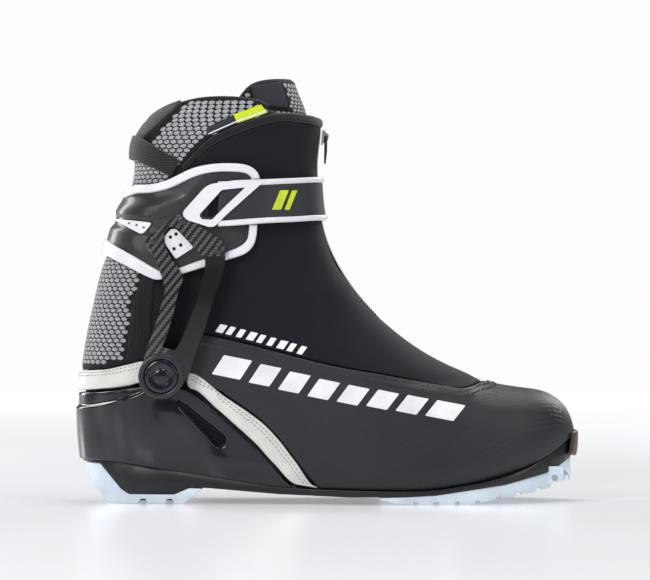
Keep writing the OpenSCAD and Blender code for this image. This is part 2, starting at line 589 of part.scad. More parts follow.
washer_t = 1;
eye_near = boss_face + washer_t + 0.3;
brace_t = 3.8;
arm_near = 43.1;
cap_r = 9.9;
BRACE = [
    [-85.6, 70.1], [-82.8, 80], [-78.6, 92.5], [-74.4, 103.8], [-68.8, 122], [-63.9, 136], [-61.8, 143],
    [-61.5, 151.4], [-62.5, 157], [-67.4, 161], [-72.4, 164], [-88.2, 174.1], [-90.6, 173.9], [-101, 165.4],
    [-109.4, 159.8], [-109.4, 157], [-103.1, 147.2], [-98.5, 132.5], [-97.5, 129], [-99.6, 120.6],
    [-103.8, 106.5], [-108, 95.3], [-110.8, 85.5]
];
BRACE_WINDOW = [
    [-99.6, 94.5], [-96.8, 101], [-92.6, 115], [-89.8, 127.6], [-87, 134.6], [-87.7, 138.8], [-95.4, 150],
    [-98.9, 157], [-98.5, 162.6], [-95.4, 166.8], [-91.2, 166.3], [-81.4, 155.6], [-73.7, 147.2],
    [-73.7, 143], [-74.4, 137.4], [-77.2, 127.6], [-81.4, 115], [-87, 101], [-91.4, 92.6]
];
BRACE_RIVETS = [[-104.5, 158.5], [-66, 152.5], [-87.5, 170.2]];
rivet_head = 2.6;
module brace_outline() difference() {
    union() {
        polygon(scaled(BRACE));
        translate(hinge) circle(r = eye_r, $fn = 96);
    }
    polygon(scaled(BRACE_WINDOW));
}
module slice(z0, z1) translate([-200, z0]) square([250, z1 - z0]);
module brace(side) color("#46474c") on_side(side) difference() {
    union() {
        plate(eye_near, eye_near + brace_t) intersection() { brace_outline(); slice(0, 140); }
        plate(arm_near, arm_near + brace_t) intersection() { brace_outline(); slice(128, 200); }
        pin(hinge[0], hinge[1], eye_r, eye_near, eye_near + brace_t + 1.4);
    }
    pin(hinge[0], hinge[1], rivet_r + hinge_gap, 30, 60);
    pin(hinge[0], hinge[1], cap_r + 0.5, eye_near + brace_t - 0.4, 60);
    for (p = BRACE_RIVETS) pin(k * p[0], p[1], 1.5, 30, 60);
}
module brace_lateral() brace(lateral);
module brace_medial() brace(medial);
module brace_rivets() color("#1d1d20") for (side = [lateral, medial]) on_side(side)
    for (p = BRACE_RIVETS) {
        pin(k * p[0], p[1], 1.5, arm_near - 0.1, arm_near + brace_t);
        pin(k * p[0], p[1], rivet_head, arm_near + brace_t, arm_near + brace_t + 0.8);
    }

module hinge_washers() color("#8f9297") for (side = [lateral, medial]) on_side(side) difference() {
    pin(hinge[0], hinge[1], 8, boss_face, boss_face + washer_t);
    pin(hinge[0], hinge[1], rivet_r, 30, 60);
}
cap_near = eye_near + brace_t - 0.1;
module hinge_rivets() color("#b3b6ba") for (side = [lateral, medial]) on_side(side)
    pin(hinge[0], hinge[1], rivet_r, 34, cap_near);
module hinge_caps() color("#232326") for (side = [lateral, medial]) on_side(side) {
    pin(hinge[0], hinge[1], cap_r, cap_near, cap_near + 1.8);
    pin(hinge[0], hinge[1], 4.6, cap_near + 1.8, cap_near + 2.6);
}

SIDE_VENT = [[-98.2, 160.8], [-94, 165.4], [-91, 165.2], [-82, 155.4], [-91.4, 147.8], [-98, 157]];
vent_hole_r = 1.3;
SIDE_VENT_HOLES = [[-94.6, 160.4], [-91.2, 162.2], [-92.4, 153.4], [-88.4, 155.6]];
module side_vents() color("#e8e9ec") for (side = [lateral, medial]) on_side(side) difference() {
    plate(arm_near - 0.2, arm_near + 1.4) polygon(scaled(SIDE_VENT));
    for (p = SIDE_VENT_HOLES) pin(k * p[0], p[1], vent_hole_r, 30, 60);
}

// ---------------------------------------------------------------- strap

STRAP_LOW = [[-66, 167.2], [-44, 168.4], [-22, 169.6], [-6, 170.6]];
STRAP_HIGH = [[-66, 193.4], [-44, 195.4], [-22, 197], [-6, 197.6]];
swing_x = -52; // where the strap bends when it is opened, on the medial side
tail_x = -74;
function strap_from(p) = mix(1.2, rim_to + 0.5, smooth(-20, -40, x_at(p[0], p[1]) / k));
function strap_line(line, x_medial, z_front) =
    let (
        front = front_x(z_front) / k - 0.3,
        near = closing(-66, front, 8),
        far = closing(x_medial, front, 8)
    ) unwrapped(concat(
        places([for (i = [0:7]) [near[i], curve(line, near[i])]], lateral), [[1, z_front]],
        reversed(places([for (i = [0:7]) [far[i], curve(line, far[i])]], medial))));
module strap_strip(low, high, from, to) sheet(ruled(
    strap_line(lifted(STRAP_LOW, low), swing_x + 0.3, 171 + low),
    strap_line(lifted(STRAP_LOW, high), swing_x + 0.3, 171 + high), 36, 2),
    function (p) strap_from(p) + from, function (p) strap_from(p) + to);
strap_w = 26.4;
module strap_band() color("#3f4045") strap_strip(0, strap_w, 0, strap_wall);
module strap_edges() color("#ececee") {
    strap_strip(0.1, 3.4, strap_wall + 0.25, strap_wall + 0.9);
    strap_strip(strap_w - 3.4, strap_w - 0.1, strap_wall + 0.25, strap_wall + 0.9);
}
handle_near = 45.4;
HANDLE = [[-56, 194.6], [-70.9, 192.8], [-74, 190], [-86, 177.6], [-86, 174.8], [-71.8, 165.6], [-56, 167.4]];
HANDLE_WINDOW = [[-56.4, 189.4], [-69, 187.6], [-76.8, 175.2], [-70.4, 171.4]];
handle_t = 3.6;
module strap_handle() color("#f2f2f4") difference() {
    plate(handle_near, handle_near + handle_t) polygon(scaled(HANDLE));
    plate(30, 60) polygon(scaled(HANDLE_WINDOW));
    plate(30, handle_near + 2.4) polygon([[-66.3 * k, 160], [-66.3 * k, 200], [-50, 200], [-50, 160]]);
}
mark = [-29, 182]; // middle of the plain slanted mark on the strap
module strap_mark() color("#c6d930") sheet(ruled(
    places([mark + [-5, -6], mark + [5, -6]], lateral),
    places([mark + [-1, 7], mark + [9, 7]], lateral), 3, 3),
    function (p) strap_from(p) + strap_wall + 0.35, function (p) strap_from(p) + strap_wall + 0.8);

tail_from = rim_to + 0.4;
tail_face = leg_half_width + tail_from + strap_wall + 0.5;
TAIL_RIVETS = [[-66, 176], [-66, 186]];
module strap_tail() color("#2f3034") difference() {
    sheet(ruled(
        places([[swing_x - 0.3, 171], [-60, 170.5], [tail_x, 172]], medial),
        places([[swing_x - 0.3, 193.5], [-60, 193], [tail_x, 188]], medial), 6, 2),
        tail_from, tail_from + strap_wall);
    for (p = TAIL_RIVETS) on_side(medial) pin(p[0], p[1], 1.6, 30, 60);
}
module tail_rivets() color("#b3b6ba") for (p = TAIL_RIVETS) on_side(medial) {
    pin(p[0], p[1], 1.5, leg_half_width + shell_to + 0.4, tail_face);
    pin(p[0], p[1], 3, tail_face, tail_face + 0.9);
}
module hook_patch() color("#26262a") sheet(ruled(
    places([[-72, 172], [-50, 172]], lateral), places([[-72, 190], [-50, 190]], lateral), 4, 3),
    rim_from, rim_from + 0.5);

// ---------------------------------------------------------------- trimmings of the collar

LOOP_LOW = [[-115, 208], [-110, 205], [-103, 201.5], [-96.5, 198]];
LOOP_HIGH = [[-113, 221], [-107, 217.5], [-98, 212], [-91, 208]];
module pull_loop() color("#3c3d42") {
    line = function (points, x0, x1, back) let (
        half = places([for (i = [0:6]) let (x = mix(x0, x1, i / 6)) [x, curve(points, x)]], lateral)
    ) concat(half, [[0, back]], [for (p = reversed(half)) [-p[0], p[1]]]);
    off_back = function (p) smooth(0.3, 0.12, abs(p[0]));
    sheet(ruled(line(LOOP_LOW, -96.5, -112.5, 208.6), line(LOOP_HIGH, -91.5, -111.5, 221.4), 24, 2),
        function (p) mix(0.3, 1.9, off_back(p)), function (p) mix(1.5, 3.4, off_back(p)));
}
module collar_pad() color("#26262b") {
    columns = [for (i = [0:8]) let (
        t = i / 8,
        x = mix(-90, -110.5, t),
        top = curve(concat([[-118, 222.4]], COLLAR_TOP), x) + 0.8
    ) places([[x, mix(239, 221.5, t ^ 0.8)], [x, top]], lateral)];
    all_columns = concat(columns, [[[0, 221.6], [0, 226.4]]], mirrored(columns));
    sheet([for (c = all_columns) [for (j = [0:2]) mix(c[0], c[1], j / 2)]], 0.6, 1.8);
}
module collar_label() color("#c6d930") sheet(ruled(
    places([[-72.6, 220.6], [-54, 228.9], [-36.6, 235.2]], lateral),
    places([[-72.9, 226], [-56, 234.2], [-40.6, 240]], lateral), 12, 1), 0.3, 0.9);
module tongue_label() color("#3f4148") sheet(ruled(
    places([[-42, 241], [-19.4, 240]], lateral), places([[-44, 252.4], [-24, 256.4]], lateral), 5, 3),
    function (p) tongue_out(p) + 0.1, function (p) tongue_out(p) + 0.7);

// ---------------------------------------------------------------- zip

module zip_teeth() color("#8a8d92") sheet(ruled(
    [[0.975, 199.5], [1, 199.5], [1.025, 199.5]], [[0.975, 227], [1, 227], [1.025, 227]], 4, 8), 0.2, 0.8);
slide_from = [-5, 226];
slide_to = [-6.9, 208];
slide_dir = (slide_to - slide_from) / norm(slide_to - slide_from);
// Extrudes across the boot a shape drawn with the zip's line as its vertical axis.
module along_zip(width) translate([slide_from[0] * k, 0, slide_from[1]])
    rotate([0, atan2(-slide_dir[0], -slide_dir[1]), 0]) across(width) children();
puller_axis = [3.9, -3.6];
puller_r = 0.95;
module zip_slider() color("#a9acb1") difference() {
    union() {
        along_zip(7) polygon([[1.4, 0], [2.8, 0.6], [2.8, -8.4], [1.4, -9]]);
        along_zip(2.6) polygon([[2.7, 0], [5.6, -2], [5.6, -5.4], [2.7, -7.6]]);
    }
    along_zip(10) translate(puller_axis) circle(r = 0.8);
}
module zip_puller() color("#3a3b40") difference() {
    union() {
        along_zip(5.4) translate(puller_axis) circle(r = 0.76);
        along_zip(6.4) hull() {
            translate(puller_axis) circle(r = puller_r);
            polygon([[4.5, -20], [5.6, -20], [5.6, -12], [4.5, -12]]);
        }
    }
    along_zip(3.2) polygon([[1, 2], [9, 2], [9, -8.6], [1, -8.6]]);
}

sole_plate();
heel_tread();
toe_tread();
toe_bumper();
toe_bar();
bar_carrier();
shank();
lasting_board();
insole();
heel_counter();
hinge_bosses();
hinge_washers();
hinge_rivets();
hinge_caps();
trim_rear();
trim(lateral);  // trim_lateral
trim(medial);  // trim_medial
vamp(lateral);  // vamp_lateral
vamp(medial);  // vamp_medial
toe_puff();
liner_heel();
liner_toe();
liner_ankle();
liner_flex();
tongue_lower();
tongue_flex();
gaiter_lower();
gaiter_flex();
mesh_lower();
mesh_flex();
liner_collar();
mesh_collar();
tongue_upper();
gaiter_upper();
gaiter_binding();
cuff_shell();
cuff_rim_top();
cuff_rim_bottom();
brace_lateral();
brace_medial();
brace_rivets();
side_vents();
rear_vents();
strap_band();
strap_edges();
strap_handle();
strap_mark();
strap_tail();
tail_rivets();
hook_patch();
pull_loop();
collar_pad();
collar_label();
tongue_label();
zip_teeth();
zip_slider();
zip_puller();
eyestays();
lace();
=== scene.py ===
"""Looks of a cross country skate boot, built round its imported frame.

The toe points along +X, up is +Z, and the lateral side of this right boot is -Y.
Lengths in the functions below are millimetres, and MM turns them into the scene's metres.
"""
import json
import math

import bmesh
import bpy
import numpy as np
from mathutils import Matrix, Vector
from mathutils.geometry import tessellate_polygon


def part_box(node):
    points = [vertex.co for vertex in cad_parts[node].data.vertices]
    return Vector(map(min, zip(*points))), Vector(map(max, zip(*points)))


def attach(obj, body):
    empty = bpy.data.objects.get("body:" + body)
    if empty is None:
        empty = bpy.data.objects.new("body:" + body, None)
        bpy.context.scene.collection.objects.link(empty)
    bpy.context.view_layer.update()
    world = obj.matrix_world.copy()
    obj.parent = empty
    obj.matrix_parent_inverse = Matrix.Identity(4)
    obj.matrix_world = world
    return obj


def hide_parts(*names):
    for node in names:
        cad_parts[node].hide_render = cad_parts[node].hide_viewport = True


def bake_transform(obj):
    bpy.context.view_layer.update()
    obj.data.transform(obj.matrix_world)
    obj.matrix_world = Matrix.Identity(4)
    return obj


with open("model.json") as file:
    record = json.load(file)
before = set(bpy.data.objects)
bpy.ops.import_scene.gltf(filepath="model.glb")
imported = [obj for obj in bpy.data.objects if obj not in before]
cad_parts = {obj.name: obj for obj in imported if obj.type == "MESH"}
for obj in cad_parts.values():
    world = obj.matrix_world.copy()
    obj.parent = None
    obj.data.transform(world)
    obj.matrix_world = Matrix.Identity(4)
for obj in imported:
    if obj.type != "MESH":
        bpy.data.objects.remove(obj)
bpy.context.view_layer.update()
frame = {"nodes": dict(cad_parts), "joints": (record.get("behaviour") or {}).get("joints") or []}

MM = 0.001
LATERAL, MEDIAL = -1, 1
BOTH = (LATERAL, MEDIAL)
SIDE_NAMES = ((LATERAL, "lateral"), (MEDIAL, "medial"))
HINGE = [v / MM for v in next(j for j in frame["joints"] if j["name"] == "cuff_flex")["pos_m"]]
NODES = frame["nodes"]


def side_box(node):
    """The box of a CAD node in millimetres, as two arrays."""
    return [np.array(corner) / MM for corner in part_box(node)]


# ------------------------------------------------------------------ camera, light and floor

MM_PER_PIXEL = 0.61
PICTURE_WIDTH = 650
VIEW_CENTRE = (-2.0, 128.7)
VIEW_DISTANCE = 2400.0
SENSOR = 36.0
WHITE = (0.97, 0.98, 1.0, 1)
BACKDROP_LIGHT = 0.17     # what the white backdrop gives as light, against 1 as it is seen
LIGHTS = (                # name, place, what it points at, size in metres, watts
    ("key", (-0.7, -1.1, 0.9), (-0.02, 0, 0.12), (0.5, 0.6), 11),
    ("fill", (1.1, -0.8, 0.7), (0.02, 0, 0.08), (0.25, 0.9), 5),
    ("top", (0.1, 0.1, 1.4), (0, 0, 0.1), (1.2, 0.5), 15),
    ("edge", (-0.9, 0.6, 0.5), (-0.05, 0, 0.12), (0.3, 0.9), 7),
    ("glint", (-0.95, -0.5, 0.45), (-0.1, 0, 0.17), (0.3, 0.5), 1.4),
    ("back", (0.8, 1.1, 0.8), (0.0, 0, 0.1), (0.5, 0.8), 8),
)
FLOOR_HALF = 9.0
GLOW_RADII = (0.25, 2.2)  # metres from the boot between which the floor turns from grey to white
GLOW_LEVELS = (0.26, 0.86)


def add_camera(scene):
    data = bpy.data.cameras.new("camera")
    data.sensor_width = SENSOR
    data.lens = SENSOR * VIEW_DISTANCE / (PICTURE_WIDTH * MM_PER_PIXEL)
    camera = bpy.data.objects.new("camera", data)
    camera.location = (VIEW_CENTRE[0] * MM, -VIEW_DISTANCE * MM, VIEW_CENTRE[1] * MM)
    camera.rotation_euler = (math.radians(90), 0, 0)
    scene.collection.objects.link(camera)
    scene.camera = camera


def add_world(scene):
    """A white backdrop whose light is weaker than its look, so that blacks keep their depth."""
    world = bpy.data.worlds.new("studio")
    world.use_nodes = True
    sky = world.node_tree
    seen = sky.nodes.new("ShaderNodeLightPath")
    level = sky.nodes.new("ShaderNodeMapRange")
    level.inputs["To Min"].default_value = BACKDROP_LIGHT
    level.inputs["To Max"].default_value = 1.0
    sky.links.new(seen.outputs["Is Camera Ray"], level.inputs["Value"])
    sky.links.new(level.outputs[0], sky.nodes["Background"].inputs["Strength"])
    sky.nodes["Background"].inputs["Color"].default_value = WHITE
    scene.world = world
    scene.view_settings.view_transform = "Standard"


def add_light(scene, name, place, aim, size, power):
    lamp = bpy.data.lights.new(name, "AREA")
    lamp.shape = "RECTANGLE"
    lamp.size, lamp.size_y = size
    lamp.energy = power
    obj = bpy.data.objects.new(name, lamp)
    obj.location = place
    obj.rotation_euler = (Vector(aim) - Vector(place)).to_track_quat("-Z", "Y").to_euler()
    scene.collection.objects.link(obj)


def floor_material():
    """Pale floor that glows more the farther it is from the boot, so that it fades into the backdrop."""
    material = bpy.data.materials.new("pale_floor")
    material.use_nodes = True
    tree = material.node_tree
    shader = tree.nodes["Principled BSDF"]
    shader.inputs["Base Color"].default_value = (0.62, 0.63, 0.65, 1)
    shader.inputs["Roughness"].default_value = 0.22
    shader.inputs["Specular IOR Level"].default_value = 0.4
    shader.inputs["Emission Color"].default_value = WHITE
    here = tree.nodes.new("ShaderNodeTexCoord")
    away = tree.nodes.new("ShaderNodeVectorMath")
    away.operation = "LENGTH"
    tree.links.new(here.outputs["Object"], away.inputs[0])
    glow = tree.nodes.new("ShaderNodeMapRange")
    glow.interpolation_type = "SMOOTHSTEP"
    glow.inputs["From Min"].default_value, glow.inputs["From Max"].default_value = GLOW_RADII
    glow.inputs["To Min"].default_value, glow.inputs["To Max"].default_value = GLOW_LEVELS
    tree.links.new(away.outputs["Value"], glow.inputs["Value"])
    tree.links.new(glow.outputs[0], shader.inputs["Emission Strength"])
    return material


def add_floor(scene):
    f = FLOOR_HALF
    mesh = bpy.data.meshes.new("floor")
    mesh.from_pydata([(-f, -f, 0), (f, -f, 0), (f, f, 0), (-f, f, 0)], [], [(0, 1, 2, 3)])
    mesh.materials.append(floor_material())
    floor = bpy.data.objects.new("floor", mesh)
    scene.collection.objects.link(floor)


def studio():
    scene = bpy.context.scene
    add_camera(scene)
    add_world(scene)
    for light in LIGHTS:
        add_light(scene, *light)
    add_floor(scene)


studio()

# ------------------------------------------------------------------ curves


def smooth(a, b, x):
    """0 at a and 1 at b, with a smooth step between."""
    t = np.clip((x - a) / (b - a), 0, 1)
    return t * t * (3 - 2 * t)


def mix(a, b, t):
    return a + (b - a) * t


def curve(points, x):
    """A smooth curve through (x, value) points, flat beyond its ends."""
    t = np.asarray(points, float)
    xs, ys = t[:, 0], t[:, 1]
    slopes = np.zeros(len(t))
    slopes[1:-1] = (ys[2:] - ys[:-2]) / (xs[2:] - xs[:-2])
    x = np.clip(np.asarray(x, float), xs[0], xs[-1])
    i = np.clip(np.searchsorted(xs, x, side="right") - 1, 0, len(t) - 2)
    h = xs[i + 1] - xs[i]
    u = (x - xs[i]) / h
    start = (2 * u**3 - 3 * u**2 + 1) * ys[i] + (u**3 - 2 * u**2 + u) * h * slopes[i]
    return start + (3 * u**2 - 2 * u**3) * ys[i + 1] + (u**3 - u**2) * h * slopes[i + 1]


# ------------------------------------------------------------------ the skin of the upper
# The same skin as the frame's soft nodes have: y is the middle line plus or minus half_width(x, z).

BACK = [
    (8, -146), (25, -149.5), (45, -151.5), (65, -151.7), (82, -150), (104, -146.5), (122, -142.5),
    (139, -138.5), (150, -134.5), (170, -128), (186, -121), (200, -118), (218, -117), (232, -109),
    (244, -98), (262, -94),
]
FRONT = [
    (8, 140), (26, 148.5), (40, 150.2), (50, 148.2), (58, 144), (64, 137), (67.5, 128), (69.5, 114),
    (71.5, 102), (74, 92.5), (78, 84.5), (84, 71), (92, 56.5), (102, 42.5), (115, 27.5), (131, 14),
    (148, 3.5), (165, -3), (184, -6.2), (206, -7), (229, -5), (240, -7), (262, -14),
]
FEATHER = [
    (-152, 26.5), (-137, 25.8), (-122, 24.6), (-70, 16.4), (-29, 10.6), (13, 8.8), (45, 8.2),
    (61, 8.8), (92, 13.4), (116, 20), (132, 28), (145, 37), (151, 41),
]
FOOT_LATERAL = [
    (-150, 0.72), (-110, 0.73), (-60, 0.78), (-10, 0.86), (30, 0.97), (62, 1.02), (95, 0.99), (151, 0.9),
]
FOOT_MEDIAL = [
    (-150, 0.72), (-110, 0.73), (-60, 0.76), (-10, 0.8), (30, 0.9), (68, 1), (100, 0.99), (151, 0.92),
]
BALL_HALF = 49.0
LEG_HALF = 39.0
TOP_LEVELS = np.concatenate([np.arange(42, 60, 2.0), np.arange(60, 76, 0.5), np.arange(77, 169, 3.0)])
TOP_X = curve(FRONT, TOP_LEVELS)
TOP_ORDER = np.argsort(TOP_X)


def back_x(z):
    return curve(BACK, z)


def front_x(z):
    return curve(FRONT, z)


def feather_z(x):
    return curve(FEATHER, x)


def top_z(x):
    """Height of the front line over the foot, and far above everything behind the leg's front."""
    level = np.interp(x, TOP_X[TOP_ORDER], TOP_LEVELS[TOP_ORDER])
    return np.where(x < TOP_X.min(), 900.0, level)


def closing(t, n):
    """Share of the full width at t, from 0 at an end to 1 where the rounding stops."""
    return np.where(t >= 1, 1.0, 1 - np.abs(1 - np.minimum(t, 1)) ** n)


def middle(x):
    """The boot's middle line, which turns inwards towards the toe."""
    return 7 * smooth(20, 150, x)


def width_squared(x, z, side):
    """Square of the half width of the skin in the side view."""
    behind = x - back_x(z)
    ahead = front_x(z) - x
    below = np.abs(top_z(x) - z) + 0.01
    reach = np.sqrt(ahead * ahead + below * below)
    inwards = ahead * below / reach
    level = (below / reach) ** 2
    leg = smooth(66, 120, z) * smooth(60, 0, x)
    front_round = mix(34, mix(66, 56, leg), level)
    back_round = mix(46, 52, leg)
    tuck = 1 - 0.07 * (1 - np.clip((z - feather_z(x)) / 14, 0, 1)) ** 2
    foot = BALL_HALF * np.where(side < 0, curve(FOOT_LATERAL, x), curve(FOOT_MEDIAL, x))
    calf = LEG_HALF + 2.5 * smooth(170, 240, z) - 1.5 * smooth(80, 110, z) * smooth(170, 130, z)
    w = mix(foot, calf, leg) * tuck
    return w * w * closing(behind / back_round, 2) * closing(inwards / front_round, mix(2.4, 2, level))


def x_at(u, z):
    u = np.where(u > 1, u - 2, np.where(u < -1, u + 2, u))
    b, f = back_x(z), front_x(z)
    return b + (f - b) * (1 - np.cos(np.pi * np.abs(u))) / 2


def u_at(x, z):
    b, f = back_x(z), front_x(z)
    return np.arccos(np.clip(1 - 2 * (x - b) / (f - b), -1, 1)) / np.pi


def skin(u, z, offset=0.0):
    """Points at places (u, z): u is 0 at the back, -1 or 1 at the front, below 0 on the lateral side."""
    u, z = np.broadcast_arrays(np.asarray(u, float), np.asarray(z, float))
    turned = np.where(u > 1, u - 2, np.where(u < -1, u + 2, u))
    side = np.where(turned < 0, LATERAL, MEDIAL)
    x = x_at(u, z)
    w = np.sqrt(np.maximum(0, width_squared(x, z, side)))
    point = np.stack([x, middle(x) + side * w, z], -1)
    h = 0.4
    xi = np.minimum(front_x(z) - 2 * h, np.maximum(back_x(z) + 2 * h, x))
    dx = (width_squared(xi + h, z, side) - width_squared(xi - h, z, side)) / (2 * h)
    dz = (width_squared(xi, z + h, side) - width_squared(xi, z - h, side)) / (2 * h)
    normal = np.stack([-dx / 2, side * w, -dz / 2], -1)
    normal /= np.linalg.norm(normal, axis=-1, keepdims=True)
    return point + normal * np.broadcast_to(np.asarray(offset, float), x.shape)[..., None]


def at_side(x, z, side, offset):
    """Points off the skin, given by where they are in the side view."""
    x, z = np.asarray(x, float), np.asarray(z, float)
    return skin(side * u_at(x, z), z, offset)


# ------------------------------------------------------------------ lines of places
# A place is a (u, z) pair, as skin() takes it. Side-view points are (x, z) pairs.

LINE_POINTS = 160


def places(points, side):
    """The places of side-view points on one side."""
    points = np.asarray(points, float)
    return np.stack([side * u_at(points[:, 0], points[:, 1]), points[:, 1]], -1)


def dense(points, x0, x1):
    """Side-view points along a smooth curve, closer together towards x1."""
    x = mix(x0, x1, 1 - (1 - np.linspace(0, 1, LINE_POINTS)) ** 2)
    ordered = points if points[0][0] < points[-1][0] else points[::-1]
    return np.stack([x, curve(ordered, x)], -1)


def path(points):
    """Side-view points along a smooth curve through others, evenly spaced."""
    points = np.asarray(points, float)
    t = lengths(points)
    want = np.linspace(0, t[-1], LINE_POINTS)
    return np.stack([curve(np.stack([t, points[:, k]], -1), want) for k in (0, 1)], -1)


def mirrored(line):
    return line[::-1] * (-1, 1)


def sided(line, side):
    """A lateral line of places, or its mirror image on the medial side."""
    return line if side < 0 else line * (-1, 1)


def over_front(half, z_front):
    """A lateral line carried over the front line to the medial side."""
    tip = np.array([[-1.0, z_front]])
    other = mirrored(half) - (2, 0)
    return np.concatenate([half, tip, other])


def round_back(half, z_back):
    """A lateral line that ends near the back, carried round it to the medial side."""
    last = half[-1]
    near = np.array([[last[0] * f, mix(z_back, last[1], f * f)] for f in (0.8, 0.6, 0.4, 0.2)])
    half = np.concatenate([half, near])
    return np.concatenate([half, [[0.0, z_back]], mirrored(half)])


def front_line(points, x0, x1, z_front):
    """A smooth side-view line from x0 to x1, carried over the front."""
    return over_front(places(dense(points, x0, x1), LATERAL), z_front)


def back_line(points, x0, x1, z_back):
    """A smooth side-view line from x0 to x1, carried round the back."""
    return round_back(places(dense(points, x0, x1), LATERAL), z_back)


def lifted(points, dz):
    return [(p[0], p[1] + dz) for p in points]


def lengths(points):
    step = np.linalg.norm(np.diff(points, axis=0), axis=-1)
    return np.concatenate([[0], np.cumsum(step)])


def shares(count, length, r):
    """Stations from 0 to 1, with closer ones within r of both ends."""
    if r <= 0:
        return np.linspace(0, 1, count + 1)
    lead = np.array([0, 0.07, 0.25, 0.55]) * r / length
    inner = np.linspace(r / length, 1 - r / length, max(2, count - 7))
    return np.concatenate([lead, inner, 1 - lead[::-1]])


def spread_on(line, points, stations):
    """A line's places at those shares of its length, where points are the line's own points in space."""
    along = lengths(points)
    want = stations * along[-1]
    return np.stack([np.interp(want, along, line[:, 0]), np.interp(want, along, line[:, 1])], -1)


def spread(line, stations):
    return spread_on(line, skin(line[:, 0], line[:, 1]), stations)


def evenly(line, n):
    return spread(line, np.linspace(0, 1, n))


def ruled(lower, upper, columns, rows, r):
    """Grid of places between two lines, evenly spaced on the skin."""
    across = lengths(skin(lower[:, 0], lower[:, 1]))[-1]
    lower = spread(lower, shares(columns, across, r))
    upper = spread(upper, shares(columns, across, r))
    fine = np.linspace(0, 1, 61)[None, :, None]
    lines = mix(lower[:, None], upper[:, None], fine)
    points = skin(lines[..., 0], lines[..., 1])
    height = np.median([lengths(p)[-1] for p in points])
    stations = shares(rows, height, r)
    return np.array([spread_on(line, p, stations) for line, p in zip(lines, points)])


def distance_to(line, x, z):
    """Distance in the side view from points to an open polyline."""
    best = np.full(np.shape(x), 1e9)
    for a, b in zip(np.array(line, float)[:-1], np.array(line, float)[1:]):
        d = b - a
        t = np.clip(((x - a[0]) * d[0] + (z - a[1]) * d[1]) / (d @ d), 0, 1)
        best = np.minimum(best, np.hypot(x - a[0] - t * d[0], z - a[1] - t * d[1]))
    return best


# ------------------------------------------------------------------ meshes


def build(name, points, faces):
    """A smooth-shaded object from points in millimetres."""
    mesh = bpy.data.meshes.new(name)
    mesh.from_pydata((np.asarray(points, float) * MM).tolist(), [], faces)
    obj = bpy.data.objects.new(name, mesh)
    bpy.context.scene.collection.objects.link(obj)
    tidy = bmesh.new()
    tidy.from_mesh(mesh)
    bmesh.ops.recalc_face_normals(tidy, faces=tidy.faces)
    tidy.to_mesh(mesh)
    tidy.free()
    mesh.polygons.foreach_set("use_smooth", [True] * len(mesh.polygons))
    return obj


def bevelled(obj, width, segments=3, angle=35):
    """Rounds the sharp edges of a mesh and keeps its flat faces flat."""
    modifier = obj.modifiers.new("bevel", "BEVEL")
    modifier.width = width * MM
    modifier.segments = segments
    modifier.limit_method = "ANGLE"
    modifier.angle_limit = math.radians(angle)
    modifier.harden_normals = True
    return apply_modifiers(obj)


def apply_modifiers(obj):
    graph = bpy.context.evaluated_depsgraph_get()
    graph.update()
    mesh = bpy.data.meshes.new_from_object(obj.evaluated_get(graph))
    obj.modifiers.clear()
    obj.data = mesh
    return obj


UNROLL = 60.0   # half width from which the cloth's second coordinate is counted


def finish(obj, material, slot, body=None, replaces=(), bend=None):
    """Gives a piece its material and its cloth coordinates, and hangs it under the empty of the body that it
    follows; a piece given bend gets no body here: its transform is applied instead.
    """
    mesh = obj.data
    co = np.zeros(len(mesh.vertices) * 3)
    mesh.vertices.foreach_get("co", co)
    co = co.reshape(-1, 3) / MM
    cloth = np.stack([co[:, 0], co[:, 2] + UNROLL - np.abs(co[:, 1]), co[:, 1]], -1)
    layer = mesh.attributes.new("cloth", "FLOAT_VECTOR", "POINT")
    layer.data.foreach_set("vector", cloth.ravel().astype(np.float32))
    mesh.materials.clear()
    mesh.materials.append(material)
    if bend:
        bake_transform(obj)
    else:
        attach(obj, body)
    if replaces:
        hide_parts(*replaces)
    return obj


def refined(node, width):
    """A copy of a CAD node with its sharp edges rounded, to stand in its place."""
    mesh = NODES[node].data.copy()
    obj = bpy.data.objects.new(node + "_fine", mesh)
    bpy.context.scene.collection.objects.link(obj)
    work = bmesh.new()
    work.from_mesh(mesh)
    bmesh.ops.remove_doubles(work, verts=work.verts, dist=0.002 * MM)
    bmesh.ops.dissolve_limit(work, angle_limit=math.radians(1), verts=work.verts, edges=work.edges)
    bmesh.ops.recalc_face_normals(work, faces=work.faces)
    work.to_mesh(mesh)
    work.free()
    mesh.polygons.foreach_set("use_smooth", [True] * len(mesh.polygons))
    return bevelled(obj, width, segments=2)


def rounded(distance, r):
    """Share of the full thickness at a distance from an edge that is rounded over r."""
    return np.sqrt(np.clip(1 - (1 - np.clip(distance / r, 0, 1)) ** 2, 0.0005, 1))


